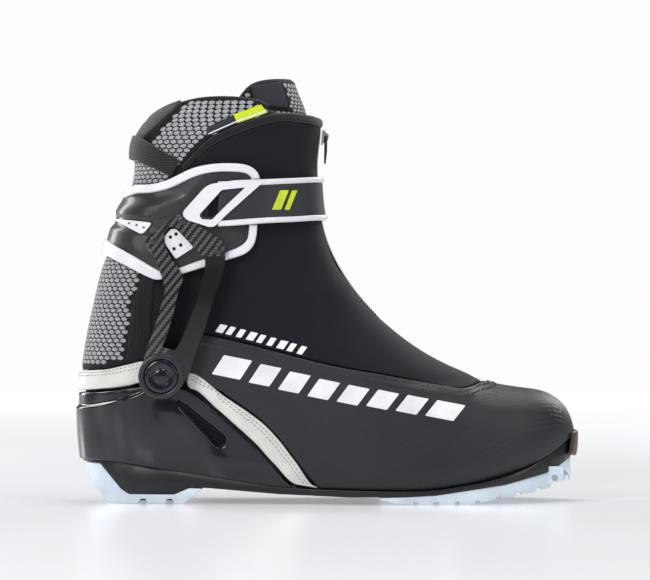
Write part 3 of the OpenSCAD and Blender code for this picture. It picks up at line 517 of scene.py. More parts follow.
def panel(name, grid, inner, outer, r=0.0, ring=False):
    """A closed sheet over a grid of places, with its edges rounded over r."""
    columns, rows = grid.shape[:2]
    u, z = grid[..., 0], grid[..., 1]
    inner = np.broadcast_to(np.asarray(inner, float), u.shape)
    outer = np.broadcast_to(np.asarray(outer, float), u.shape)
    if r > 0:
        base = skin(u, z)
        up = np.array([lengths(p) for p in base])
        near = np.minimum(up, up[:, -1:] - up)
        if not ring:
            along = np.array([lengths(p) for p in base.transpose(1, 0, 2)]).T
            near = np.minimum(near, np.minimum(along, along[-1:] - along))
        full = rounded(near, r)
        mid = (inner + outer) / 2
        inner, outer = mid + (inner - mid) * full, mid + (outer - mid) * full
    points = np.concatenate([skin(u, z, outer).reshape(-1, 3), skin(u, z, inner).reshape(-1, 3)])
    count = columns * rows
    spans = columns if ring else columns - 1
    faces = []
    for i in range(spans):
        a, b = i * rows, (i + 1) % columns * rows
        for j in range(rows - 1):
            faces.append((a + j, b + j, b + j + 1, a + j + 1))
            faces.append((count + a + j, count + a + j + 1, count + b + j + 1, count + b + j))
        faces.append((a, count + a, count + b, b))
        faces.append((a + rows - 1, b + rows - 1, count + b + rows - 1, count + a + rows - 1))
    if not ring:
        last = (columns - 1) * rows
        for j in range(rows - 1):
            faces.append((j, j + 1, count + j + 1, count + j))
            faces.append((last + j, count + last + j, count + last + j + 1, last + j + 1))
    return build(name, points, faces)


def inlay(name, outline, holes, place, near, far, bevel, step=4.0):
    """A plate cut to a side-view outline and laid on a surface: place(x, z, distance) gives its points."""
    loops = [np.asarray(outline, float)] + [np.asarray(h, float) for h in holes]
    flat = np.concatenate(loops)
    work = bmesh.new()
    verts = [work.verts.new((p[0], p[1], 0)) for p in flat]
    for triangle in tessellate_polygon([[Vector((p[0], p[1], 0)) for p in loop] for loop in loops]):
        work.faces.new([verts[i] for i in triangle])
    bmesh.ops.dissolve_limit(work, angle_limit=0.01, verts=work.verts, edges=work.edges)
    for axis in (0, 1):
        low, high = flat[:, axis].min(), flat[:, axis].max()
        for cut in np.arange(low + step * 0.6, high, step):
            spot, normal = [0, 0, 0], [0, 0, 0]
            spot[axis], normal[axis] = cut, 1
            everything = work.verts[:] + work.edges[:] + work.faces[:]
            bmesh.ops.bisect_plane(work, geom=everything, plane_co=spot, plane_no=normal)
    bmesh.ops.triangulate(work, faces=[f for f in work.faces if len(f.verts) > 4])
    work.verts.ensure_lookup_table()
    work.verts.index_update()
    x = np.array([v.co.x for v in work.verts])
    z = np.array([v.co.y for v in work.verts])
    count = len(x)
    points = np.concatenate([place(x, z, far), place(x, z, near)])
    faces = [tuple(v.index for v in f.verts) for f in work.faces]
    sides = []
    for e in work.edges:
        if len(e.link_faces) == 1:
            a, b = e.verts[0].index, e.verts[1].index
            sides.append((a, b, b + count, a + count))
    work.free()
    faces = faces + [tuple(i + count for i in f[::-1]) for f in faces] + sides
    obj = build(name, points, faces)
    return bevelled(obj, bevel, angle=50) if bevel else obj


def softened(outline, r):
    """Rounds the corners of a closed outline over a length r."""
    line = np.asarray(outline, float)
    points = []
    for before, corner, after in zip(np.roll(line, 1, axis=0), line, np.roll(line, -1, axis=0)):
        a, b = before - corner, after - corner
        a *= min(0.5, r / np.linalg.norm(a))
        b *= min(0.5, r / np.linalg.norm(b))
        for t in np.linspace(0, 1, 5):
            points.append(corner + a * (1 - t) ** 2 + b * t**2)
    keep = [p for p, q in zip(points, points[-1:] + points[:-1]) if np.linalg.norm(p - q) > 0.02]
    return np.array(keep)


def disc(centre, r, n):
    """A circle of n side-view points."""
    turn = np.linspace(0, 2 * np.pi, n, endpoint=False)
    return np.stack([centre[0] + r * np.cos(turn), centre[1] + r * np.sin(turn)], -1)


def flat_side(side):
    """Places points at a distance from the boot's middle plane."""
    return lambda x, z, d: np.stack([x, side * (np.zeros_like(x) + d), z], -1)


def on_skin(side):
    return lambda x, z, d: at_side(x, z, side, d)


def lathe(name, profile, centre, side, n=64):
    """Turns a (radius, distance) profile about an axis along Y. The first and last points lie on the axis."""
    profile = np.asarray(profile, float)
    turn = np.linspace(0, 2 * np.pi, n, endpoint=False)
    points, faces = [], []
    for r, d in profile[1:-1]:
        for t in turn:
            points.append((centre[0] + r * math.cos(t), side * d, centre[1] + r * math.sin(t)))
    rings = len(profile) - 2
    for i in range(rings - 1):
        for j in range(n):
            k = (j + 1) % n
            faces.append((i * n + j, i * n + k, (i + 1) * n + k, (i + 1) * n + j))
    for ring, (_, d) in ((0, profile[0]), (rings - 1, profile[-1])):
        tip = len(points)
        points.append((centre[0], side * d, centre[1]))
        for j in range(n):
            faces.append((ring * n + j, ring * n + (j + 1) % n, tip))
    return build(name, points, faces)


def band(name, low, high, columns, rows, inner, outer, r):
    """A closed sheet between two lines of places."""
    return panel(name, ruled(low, high, columns, rows, r), inner, outer, r)


def joined(name, objects):
    """One object from several, without materials."""
    meshes = bmesh.new()
    for o in objects:
        meshes.from_mesh(o.data)
        bpy.data.objects.remove(o)
    mesh = bpy.data.meshes.new(name)
    meshes.to_mesh(mesh)
    meshes.free()
    obj = bpy.data.objects.new(name, mesh)
    bpy.context.scene.collection.objects.link(obj)
    return obj


def beads(name, centres, tangents, normals, length, r, lift):
    """Short rounded threads or teeth, one at each centre."""
    sides = 6
    rings = [(-0.5, 0.35, -0.9), (-0.36, 0.85, -0.25), (0, 1, 0), (0.36, 0.85, -0.25), (0.5, 0.35, -0.9)]
    points, faces = [], []
    for c, t, n in zip(centres, tangents, normals):
        b = np.cross(t, n)
        start = len(points)
        for along, size, drop in rings:
            mid = c + t * along * length + n * (lift + drop * r)
            for k in range(sides):
                a = 2 * math.pi * k / sides
                points.append(mid + (n * math.cos(a) + b * math.sin(a)) * r * size)
        for i in range(len(rings) - 1):
            for k in range(sides):
                m = (k + 1) % sides
                p = start + i * sides
                faces.append((p + k, p + m, p + sides + m, p + sides + k))
        faces.append(tuple(start + k for k in range(sides))[::-1])
        faces.append(tuple(start + (len(rings) - 1) * sides + k for k in range(sides)))
    return build(name, points, faces)


def stitching(name, lines, lift, pitch, length, r):
    """Rows of stitches along lines of places."""
    centres, tangents, normals = [], [], []
    for line in lines:
        total = lengths(skin(line[:, 0], line[:, 1]))[-1]
        fine = evenly(line, max(3, int(total / pitch * 4)))
        low, high = skin(fine[:, 0], fine[:, 1]), skin(fine[:, 0], fine[:, 1], 1.0)
        for i in range(2, len(fine) - 2, 4):
            t = low[i + 1] - low[i - 1]
            centres.append(low[i])
            tangents.append(t / np.linalg.norm(t))
            normals.append(high[i] - low[i])
    return beads(name, centres, tangents, normals, length, r, lift)


# ------------------------------------------------------------------ materials


class Look:
    """A material under construction: a Principled shader and short ways to add nodes to it."""

    def __init__(self, name, colour, roughness, metallic=0.0, **uniform):
        self.material = bpy.data.materials.new(name)
        self.material.use_nodes = True
        self.tree = self.material.node_tree
        self.shader = self.tree.nodes["Principled BSDF"]
        self.colour = colour
        self.set("Base Color", (*colour, 1))
        self.set("Roughness", roughness)
        self.set("Metallic", metallic)
        for socket, value in uniform.items():
            self.set(socket.replace("_", " "), value)

    def set(self, socket, value):
        self.shader.inputs[socket].default_value = value

    def link(self, value, socket):
        if isinstance(value, bpy.types.NodeSocket):
            self.tree.links.new(value, socket)
        else:
            socket.default_value = value

    def math(self, operation, *values):
        node = self.tree.nodes.new("ShaderNodeMath")
        node.operation = operation
        for value, socket in zip(values, node.inputs):
            self.link(value, socket)
        return node.outputs[0]

    def cloth(self):
        """The cloth coordinates in millimetres: the whole vector, its first part and its second."""
        source = self.tree.nodes.new("ShaderNodeAttribute")
        source.attribute_name = "cloth"
        split = self.tree.nodes.new("ShaderNodeSeparateXYZ")
        self.tree.links.new(source.outputs["Vector"], split.inputs[0])
        return source.outputs["Vector"], split.outputs[0], split.outputs[1]

    def noise(self, size, detail):
        """Noise whose features are about this many millimetres across."""
        vector, _, _ = self.cloth()
        node = self.tree.nodes.new("ShaderNodeTexNoise")
        self.tree.links.new(vector, node.inputs["Vector"])
        node.inputs["Scale"].default_value = 1 / size
        node.inputs["Detail"].default_value = detail
        return node.outputs["Fac"]

    def grain(self, size):
        """Rounded grain about this many millimetres across."""
        vector, _, _ = self.cloth()
        node = self.tree.nodes.new("ShaderNodeTexVoronoi")
        node.feature = "SMOOTH_F1"
        self.tree.links.new(vector, node.inputs["Vector"])
        node.inputs["Scale"].default_value = 1 / size
        return node.outputs["Distance"]

    def turned(self, degrees):
        """The cloth's first two coordinates, turned by an angle."""
        _, s, t = self.cloth()
        c, d = math.cos(math.radians(degrees)), math.sin(math.radians(degrees))
        a = self.math("ADD", self.math("MULTIPLY", s, c), self.math("MULTIPLY", t, d))
        b = self.math("SUBTRACT", self.math("MULTIPLY", t, c), self.math("MULTIPLY", s, d))
        return a, b

    def twill(self, pitch, degrees):
        """A two by two twill: which thread is on top, and the height of the threads."""
        a, b = self.turned(degrees)
        a, b = self.math("DIVIDE", a, pitch), self.math("DIVIDE", b, pitch)
        step = self.math("ADD", self.math("FLOOR", a), self.math("FLOOR", b))
        warp = self.math("LESS_THAN", self.math("FLOORED_MODULO", step, 4.0), 2.0)
        ridge_a = self.math("SINE", self.math("MULTIPLY", self.math("FRACT", a), math.pi))
        ridge_b = self.math("SINE", self.math("MULTIPLY", self.math("FRACT", b), math.pi))
        rest = self.math("SUBTRACT", 1.0, warp)
        warp_height = self.math("MULTIPLY", warp, ridge_a)
        return warp, self.math("ADD", warp_height, self.math("MULTIPLY", rest, ridge_b))

    def ribs(self, pitch, degrees):
        """Parallel ribs as a height from 0 to 1."""
        a, _ = self.turned(degrees)
        wave = self.math("SINE", self.math("MULTIPLY", a, 2 * math.pi / pitch))
        return self.math("MULTIPLY_ADD", wave, 0.5, 0.5)

    def bump(self, height, depth):
        """Bump of a height from 0 to 1 that stands for this many millimetres."""
        node = self.tree.nodes.new("ShaderNodeBump")
        node.inputs["Strength"].default_value = 1.0
        node.inputs["Distance"].default_value = depth * MM
        self.tree.links.new(height, node.inputs["Height"])
        self.tree.links.new(node.outputs["Normal"], self.shader.inputs["Normal"])

    def tint(self, fac, other, low=0.0, high=1.0):
        """Mixes the base colour towards another one, over a stretch of a factor."""
        ramp = self.tree.nodes.new("ShaderNodeMapRange")
        self.link(fac, ramp.inputs["Value"])
        ramp.inputs["From Min"].default_value = low
        ramp.inputs["From Max"].default_value = high
        node = self.tree.nodes.new("ShaderNodeMix")
        node.data_type = "RGBA"
        self.tree.links.new(ramp.outputs[0], node.inputs["Factor"])
        node.inputs[6].default_value = (*self.colour, 1)
        node.inputs[7].default_value = (*other, 1)
        self.tree.links.new(node.outputs[2], self.shader.inputs["Base Color"])

    def vary_roughness(self, fac, low, high):
        ramp = self.tree.nodes.new("ShaderNodeMapRange")
        self.link(fac, ramp.inputs["Value"])
        ramp.inputs["To Min"].default_value = low
        ramp.inputs["To Max"].default_value = high
        self.tree.links.new(ramp.outputs[0], self.shader.inputs["Roughness"])


def scaled(colour, f):
    return tuple(min(1.0, c * f) for c in colour)


def gloss(name, colour, roughness, coat, wear):
    """Moulded gloss plastic with faint orange peel and rubbed patches."""
    look = Look(name, colour, roughness, Coat_Weight=coat, Coat_Roughness=0.06, Specular_IOR_Level=0.4)
    patches = look.noise(22.0, 4.0)
    look.tint(patches, scaled(colour, wear), 0.35, 0.8)
    look.vary_roughness(patches, roughness * 0.75, roughness * 1.7)
    look.bump(look.noise(2.2, 2.0), 0.012)
    return look.material


def painted_shade(name, colour):
    """Darker, less shiny black plastic that paints the shade deep in the counter's hollows, where little
    light comes back.
    """
    look = Look(name, colour, 0.2, Specular_IOR_Level=0.1)
    patches = look.noise(6.0, 3.0)
    look.tint(patches, scaled(colour, 1.8), 0.35, 0.8)
    look.vary_roughness(patches, 0.14, 0.3)
    look.bump(look.noise(2.2, 2.0), 0.012)
    return look.material


def satin(name, colour, roughness, grain=0.7, depth=0.03):
    """Moulded plastic or rubber with a fine spark-eroded grain."""
    look = Look(name, colour, roughness, Specular_IOR_Level=0.45)
    fine = look.noise(grain, 2.0)
    broad = look.noise(18.0, 4.0)
    look.tint(broad, scaled(colour, 1.35), 0.3, 0.85)
    look.vary_roughness(fine, roughness * 0.85, roughness * 1.2)
    look.bump(fine, depth)
    return look.material


def textile(name, colour, pitch, degrees, depth, sheen=0.25, roughness=0.85, other=None):
    """Woven or knitted cloth."""
    look = Look(name, colour, roughness, Sheen_Weight=sheen, Sheen_Roughness=0.4, Specular_IOR_Level=0.25)
    warp, height = look.twill(pitch, degrees)
    mottled = look.math("MULTIPLY_ADD", look.noise(9.0, 4.0), 0.6, look.math("MULTIPLY", warp, 0.4))
    look.tint(mottled, other or scaled(colour, 1.7), 0.2, 0.9)
    look.bump(look.math("ADD", height, look.noise(0.9, 2.0)), depth)
    return look.material


def knit(name, colour, pitch=1.5, degrees=0, depth=0.3):
    """Ribbed knit or webbing, with painted highlights on the rib crests."""
    look = Look(name, colour, 0.9, Sheen_Weight=0.3, Specular_IOR_Level=0.2)
    rib = look.ribs(pitch, degrees)
    cross = look.ribs(pitch * 0.8, degrees + 90)
    height = look.math("MULTIPLY", rib, look.math("MULTIPLY_ADD", cross, 0.6, 0.4))
    # painted highlight: the raised ribs are tinted lighter than the grooves
    look.tint(height, scaled(colour, 2.6), 0.2, 1.0)
    look.bump(height, depth)
    return look.material


def carbon(name, dark, light, pitch, depth, coat, plain_from=None):
    """Lacquered twill whose upper threads carry a painted sheen, lightest on their ridges. Ahead of a slanted
    line and below a level it is plain, if plain_from tells where.
    """
    look = Look(name, dark, 0.34, Coat_Weight=coat, Coat_Roughness=0.08, Specular_IOR_Level=0.45)
    warp, height = look.twill(pitch, 97)
    if plain_from:
        x0, z0, lean, top = plain_from
        _, s, t = look.cloth()
        edge_x = look.math("MULTIPLY_ADD", look.math("SUBTRACT", t, z0), lean, x0)
        ahead = look.math("GREATER_THAN", s, edge_x)
        plain = look.math("MULTIPLY", ahead, look.math("LESS_THAN", t, top))
        woven = look.math("SUBTRACT", 1.0, plain)
        warp, height = look.math("MULTIPLY", warp, woven), look.math("MULTIPLY", height, woven)
    # painted sheen: upper threads tinted towards the lighter colour, most on their ridges
    look.tint(look.math("MULTIPLY", warp, look.math("MULTIPLY_ADD", height, 0.7, 0.3)), light)
    look.vary_roughness(warp, 0.22, 0.42)
    look.bump(height, depth)
    return look.material


def embossed_leather(name, dark, light):
    """Coated leather pressed with a fine diagonal weave; its raised threads are painted lighter as a
    highlight, over a broad random tone.
    """
    look = Look(name, dark, 0.42, Coat_Weight=0.1, Coat_Roughness=0.35, Specular_IOR_Level=0.42)
    _, height = look.twill(1.15, 85)
    broad = look.noise(30.0, 4.0)
    # painted highlight on the raised weave, mixed with a broad random tone
    shade = look.math("MULTIPLY_ADD", height, 0.35, look.math("MULTIPLY", broad, 0.5))
    look.tint(shade, light, 0.15, 0.8)
    look.vary_roughness(broad, 0.4, 0.54)
    look.bump(height, 0.1)
    return look.material


def trim_leather(name, colour):
    """Pale smooth leather with fine creases."""
    look = Look(name, colour, 0.5, Specular_IOR_Level=0.4)
    folds = look.grain(1.3)
    look.tint(look.noise(14.0, 5.0), scaled(colour, 0.82), 0.35, 0.75)
    look.bump(look.math("ADD", folds, look.noise(0.6, 3.0)), 0.12)
    return look.material


def metal(name, colour, roughness):
    """Finely brushed metal."""
    look = Look(name, colour, roughness, metallic=1.0)
    lines = look.noise(0.5, 2.0)
    look.vary_roughness(lines, roughness * 0.8, roughness * 1.4)
    look.bump(lines, 0.01)
    return look.material


BLACK_GLOSS = gloss("counter_gloss", (0.004, 0.0045, 0.009), 0.15, 0.3, 1.8)
# painted shade: a dark, dull black for the plates laid in the counter's hollows
RECESS_SHADE = painted_shade("painted_recess_shade", (0.0025, 0.0028, 0.005))
SHELL_GLOSS = gloss("shell_gloss", (0.011, 0.011, 0.013), 0.34, 0.25, 1.7)
WHITE_GLOSS = gloss("white_gloss", (0.72, 0.725, 0.755), 0.28, 0.3, 1.05)
SOLE_PLASTIC = satin("sole_plastic", (0.009, 0.009, 0.012), 0.36)
TREAD = satin("tread_rubber", (0.60, 0.67, 0.76), 0.5, 0.9, 0.05)
GUARD = satin("toe_guard", (0.05, 0.028, 0.018), 0.45)
STEEL = metal("steel", (0.58, 0.59, 0.61), 0.28)
ALUMINIUM = satin("carrier_metal", (0.57, 0.64, 0.73), 0.4, 0.5, 0.02)
DARK_STEEL = metal("dark_steel", (0.07, 0.07, 0.075), 0.3)
CARBON = carbon("carbon_fibre", (0.005, 0.005, 0.006), (0.085, 0.085, 0.09), 1.3, 0.09, 0.4,
                plain_from=(-94, 106, 0.29, 162))
LEATHER = embossed_leather("vamp_leather", (0.005, 0.0053, 0.009), (0.018, 0.019, 0.025))
TRIM = trim_leather("trim_leather", (0.74, 0.735, 0.70))
SOFTSHELL = textile("softshell", (0.004, 0.0034, 0.0072), 0.5, 30, 0.035, 0.07, 0.8)
GROUND = textile("cell_ground", (0.007, 0.007, 0.009), 0.8, 0, 0.1, 0.1)
CELL = textile("cell_textile", (0.27, 0.275, 0.29), 0.6, 0, 0.05, 0.1, 0.7, (0.39, 0.395, 0.42))
LINING = textile("liner_foam", (0.02, 0.0205, 0.024), 1.1, 45, 0.16, 0.2)
KNIT = knit("rear_knit", (0.006, 0.006, 0.008))
PAD = knit("pad_knit", (0.007, 0.007, 0.009), 1.1, 35, 0.2)
WEBBING = knit("webbing", (0.012, 0.012, 0.014), 1.3, 62, 0.28)
BINDING = knit("binding", (0.006, 0.0055, 0.008), 1.2, 70, 0.22)
STRAP_GREY = satin("strap_grey", (0.016, 0.0168, 0.022), 0.5, 0.5, 0.04)
LIME = satin("lime", (0.5, 0.6, 0.02), 0.4, 0.8, 0.01)
PRINT = satin("white_print", (0.72, 0.72, 0.75), 0.4, 0.8, 0.01)
LABEL = textile("label_dark", (0.02, 0.021, 0.027), 0.5, 0, 0.05, 0.1, 0.7)
THREAD_DARK = textile("thread_dark", (0.022, 0.022, 0.026), 0.3, 30, 0.05)
THREAD_PALE = textile("thread_pale", (0.15, 0.145, 0.13), 0.3, 30, 0.05)
# painted shadow: the dark plates seen through the vent holes
HOLE_SHADOW = satin("vent_shadow", (0.006, 0.006, 0.007), 0.7)
INSOLE = textile("insole_fabric", (0.045, 0.048, 0.056), 1.4, 45, 0.2)
BOARD = textile("board", (0.05, 0.045, 0.04), 1.2, 0, 0.1)
SHANK = carbon("shank_fibre", (0.03, 0.03, 0.032), (0.1, 0.1, 0.1), 1.5, 0.05, 0.1)
ZIP_PAINT = metal("zip_metal", (0.42, 0.43, 0.45), 0.35)

ANKLE = ("boot", "cuff", (-0.060, 0, 0.106), (-0.0695, 0, 0.149))   # where soft pieces fold, in metres

# ------------------------------------------------------------------ outlines in the side view

SEAM = [
    (-86, 102.2), (-78, 102.5), (-60, 99.4), (1, 84), (34, 78), (67, 71.6), (78, 69.6), (86, 70.8),
    (93, 73.4),
]
SEAM_TIP = 73.6
COUNTER_EDGE = [
    (-20, 11.2), (-34, 23.5), (-44, 34.5), (-56, 45.5), (-68, 56), (-84, 68), (-100, 72), (-117, 70),
    (-131, 68),
]
COUNTER_BACK = 66.5
TRIM_EDGE = [(-84, 79), (-62, 64.5), (-41, 50), (-30, 39), (-20, 26), (-7, 10.5)]
TRIM_REAR_EDGE = [(-138, 80.5), (-122, 83.5), (-110, 86)]
TRIM_REAR_LOW = [(-134, 69.4), (-120, 71), (-112, 73)]
VAMP_REAR = [
    (-86, 81), (-73, 73), (-62, 66), (-51, 58.8), (-41, 51.6), (-30, 40.6), (-20, 27.6), (-12, 17.2),
    (-5, 10),
]
GAITER_CORNER = [(-107, 91.5), (-97, 91.2), (-91.6, 94), (-87, 101.6)]
GAITER_TOP = [
    (-89, 203), (-79, 211.7), (-71, 219), (-53, 227.5), (-37, 233), (-25, 234.6), (-11, 233.5), (-6, 232.4),
]
COLLAR_TOP = [
    (-112, 227), (-105, 234), (-95, 239.6), (-81, 243.6), (-67, 244.6), (-53, 244), (-42, 242.4),
    (-35, 239.6),
]
CUFF_LOW = [
    (-129, 147.2), (-118, 141.8), (-105, 135.4), (-100.5, 134.8), (-80, 140.8), (-60, 147.2), (-50, 150.6),
    (-45.4, 155.4), (-43.8, 161), (-43.4, 168),
]
CUFF_HIGH = [
    (-113, 191.6), (-104, 192), (-95.4, 194.4), (-80, 202), (-67.4, 204.6), (-54, 204.6), (-48, 203.2),
    (-43.6, 199.7), (-42, 195.5),
]
CUFF_LOW_BACK, CUFF_HIGH_BACK = 150.4, 187.4


# ------------------------------------------------------------------ sole


def sole():
    """The frame's own sole pieces, with rounded edges."""
    for node, width, material, slot in (
        ("sole_plate", 0.8, SOLE_PLASTIC, "sole_plastic"),
        ("heel_tread", 0.7, TREAD, "tread_rubber"),
        ("toe_tread", 0.7, TREAD, "tread_rubber"),
        ("bar_carrier", 0.3, ALUMINIUM, "carrier_metal"),
        ("insole", 0.6, INSOLE, "insole_fabric"),
    ):
        finish(refined(node, width), material, slot, "boot", (node,))
    low = np.array([(-0.925, 29.4), (-0.96, 28.2), (-1, 27.8), (-1.04, 28.2), (-1.075, 29.4)])
    high = np.array([(-0.935, 42.2), (-0.965, 43), (-1, 43.3), (-1.035, 43), (-1.065, 42.2)])
    guard = panel("toe_bumper_fine", ruled(low, high, 34, 20, 1.6), -0.2, 2.6, 1.6)
    finish(guard, GUARD, "toe_guard", "boot", ("toe_bumper",))


sole()

# ------------------------------------------------------------------ heel counter

COUNTER_THICKNESS = 1.9
COUNTER_AT_HINGE = 42.2   # the outer face's distance from the middle plane round the hinge
SWELL_LEVEL = 66.0
HOLLOW_DEPTH = 1.5
HOLLOW_TOP, HOLLOW_FOOT = np.array([-90.4, 62.2]), np.array([-65.2, 38.3])
REAR_HOLLOW_EDGE = [(-153, 57.6), (-136, 59.4), (-122, 62.6), (-112, 66.4), (-106, 71)]
REAR_CREASE = [(-98, 56), (-101, 40), (-104, 27)]
FLANK_CREASE = [(-93, 55), (-79, 40), (-60, 18)]


def teardrop(top, foot, thin, wide):
    """A straight-sided drop from a narrow top to a round foot."""
    along = (foot - top) / np.linalg.norm(foot - top)
    across = np.array([-along[1], along[0]])
    turns = np.linspace(math.pi / 2, -math.pi / 2, 13)
    end = [foot + wide * (math.cos(t) * along + math.sin(t) * across) for t in turns]
    return np.array(end + [top - thin * across, top + thin * across])


def counter_relief(x, z):
    """The counter's outer distance. It sweeps out to the hinge and is hollowed under the trim."""
    width = np.sqrt(np.maximum(0, width_squared(x, z, LATERAL)))
    over = z - SWELL_LEVEL
    reach = np.hypot((x - HINGE[0]) * 0.9, np.where(over < 0, over * 0.72, over))
    swell = smooth(38, 11, reach) * np.maximum(0, COUNTER_AT_HINGE - width - COUNTER_THICKNESS)
    top, slope = HOLLOW_TOP, HOLLOW_FOOT - HOLLOW_TOP
    run = np.clip(((x - top[0]) * slope[0] + (z - top[1]) * slope[1]) / (slope @ slope), 0, 1)
    away = np.hypot(x - top[0] - slope[0] * run, z - top[1] - slope[1] * run)
    front_hollow = smooth(0.9, -0.7, away - mix(1.6, 4.0, run)) * smooth(0, 0.2, run)
    rear_hollow = smooth(-0.6, 1.4, z - curve(REAR_HOLLOW_EDGE, x)) * smooth(-105, -113, x)
    rear = 0.5 * smooth(9, 0, distance_to(REAR_CREASE, x, z))
    flank = 0.45 * smooth(8, 0, distance_to(FLANK_CREASE, x, z))
    return COUNTER_THICKNESS + swell - HOLLOW_DEPTH * (front_hollow + rear_hollow) + rear + flank


def hollow_floor(side):
    """Places points at a distance from the counter's outer face."""
    return lambda x, z, d: at_side(x, z, side, counter_relief(x, z) + d)


def counter():
    low = dense([(x, feather_z(x) + 0.15) for x in np.linspace(-140, -18, 30)], -18, -141)
    high = np.concatenate([dense(COUNTER_EDGE, -20, -131), [(-136.0, 67.4), (-141.0, 67.0)]])
    high[0, 1] = 13
    low = round_back(places(low, LATERAL), 26.2)
    high = round_back(places(high, LATERAL), COUNTER_BACK)
    grid = ruled(low, high, 400, 110, 1.2)
    relief = counter_relief(x_at(grid[..., 0], grid[..., 1]), grid[..., 1])
    shell = panel("heel_counter_fine", grid, -1.2, relief, 1.2)
    finish(shell, BLACK_GLOSS, "counter_gloss", "boot", ("heel_counter",))
    outline = teardrop(HOLLOW_TOP, HOLLOW_FOOT, 1.5, 3.8)
    # thin dark plates in the front hollows, painted shade on the counter's own plastic
    shade_plates = [inlay("inset", outline, [], hollow_floor(side), -0.5, 0.14, 0.05, 0.9) for side in BOTH]
    finish(joined("counter_recess_shade", shade_plates), RECESS_SHADE, "counter_gloss", "boot")


counter()

# ------------------------------------------------------------------ ankle hinge

EYE_R, CAP_R = 13.7, 9.9
CAP_TOP = side_box("hinge_caps")[1][1]
BOSS_FACE = side_box("hinge_bosses")[1][1]
HINGE_CENTRE = (HINGE[0], HINGE[2])
BOSS_PROFILE = [
    (0, 33.5), (9.6, 33.5), (9.6, 36.6), (12.4, 37), (12.6, 37.6), (12.6, BOSS_FACE - 0.5),
    (12.1, BOSS_FACE), (8, BOSS_FACE), (0, BOSS_FACE),
]
CAP_PROFILE = [
    (0, CAP_TOP - 2.6), (CAP_R - 0.3, CAP_TOP - 2.6), (CAP_R, CAP_TOP - 2.3), (CAP_R, CAP_TOP - 1.4),
    (CAP_R - 0.35, CAP_TOP - 0.95), (8.2, CAP_TOP - 0.75), (5.6, CAP_TOP - 1.0), (5.1, CAP_TOP - 1.25),
    (4.7, CAP_TOP - 1.15), (4.5, CAP_TOP - 0.7), (3.8, CAP_TOP - 0.25), (2.2, CAP_TOP - 0.04),
    (0, CAP_TOP),
]


def hinge():
    for node, profile in (("hinge_bosses", BOSS_PROFILE), ("hinge_caps", CAP_PROFILE)):
        pair = [lathe("turned", profile, HINGE_CENTRE, side) for side in BOTH]
        finish(joined(node + "_fine", pair), BLACK_GLOSS, "counter_gloss", "boot", (node,))


hinge()

# ------------------------------------------------------------------ trims


def seam_rows(low, high, stations):
    """Lines of places between two others, at those shares of the way, short of their ends."""
    low, high = evenly(low, 80), evenly(high, 80)
    return [mix(low, high, f)[2:-2] for f in stations]


def trims():
    rows = []
    inner, outer, r = -1.4, 1.15, 1.1
    under = [(p[0] + 1.1, p[1] + 1.3) for p in COUNTER_EDGE if p[0] > -90]
    for side, node in ((LATERAL, "trim_lateral"), (MEDIAL, "trim_medial")):
        low = sided(places(dense(under, -83, -19), LATERAL), side)
        high = sided(places(dense(TRIM_EDGE, -84, -7), LATERAL), side)
        strip = band(node + "_fine", low, high, 90, 16, inner, outer, r)
        finish(strip, TRIM, "trim_leather", "boot", (node,))
        rows += seam_rows(low, high, (0.66, 0.84))
    low = back_line(TRIM_REAR_LOW, -112, -134, 67.8)
    high = back_line(TRIM_REAR_EDGE, -110, -138, 79.6)
    strip = band("trim_rear_fine", low, high, 120, 18, inner, outer, r)
    finish(strip, TRIM, "trim_leather", "boot", ("trim_rear",))
    rows += seam_rows(low, high, (0.72, 0.88))
    stitches = stitching("trim_stitches", rows, 1.2, 2.6, 1.9, 0.24)
    finish(stitches, THREAD_PALE, "trim_leather", "boot")


trims()

# ------------------------------------------------------------------ vamp


def slanted(x, z, width, height, lean, fall):
    """A parallelogram whose lower left corner is at (x, z)."""
    low = z - fall * width
    return [(x, z), (x + width, low), (x + width + lean, low + height), (x + lean, z + height)]


def vamp():
    foot = [(x, float(feather_z(x)) + 0.2) for x in np.linspace(-5, 150, 60)]
    low = np.concatenate([np.array(VAMP_REAR[:-1], float), dense(foot, -5, 150)])
    high = dense(lifted(SEAM, -0.5), -86, 93.2)
    low = over_front(places(low, LATERAL), 40.6)
    high = over_front(places(high, LATERAL), SEAM_TIP - 0.6)
    grid = ruled(low, high, 260, 60, 1.0)
    x = x_at(grid[..., 0], grid[..., 1])
    drop = curve(SEAM, x) - grid[..., 1]
    folded = 0.5 * smooth(6.8, 5.4, drop) * smooth(90, 84, x)
    shell = panel("vamp_fine", grid, -1.5, 0.35 + folded, 1.0)
    finish(shell, LEATHER, "vamp_leather", "boot", ("vamp_lateral", "vamp_medial"))
    rows = []
    for below in (1.8, 4.4):
        rows.append(front_line(lifted(SEAM, -0.5 - below), -84, 91, SEAM_TIP - 0.6 - below * 0.18))
    stitches = stitching("vamp_stitches", rows, 0.86, 2.7, 1.8, 0.36)
    finish(stitches, THREAD_DARK, "vamp_leather", "boot")


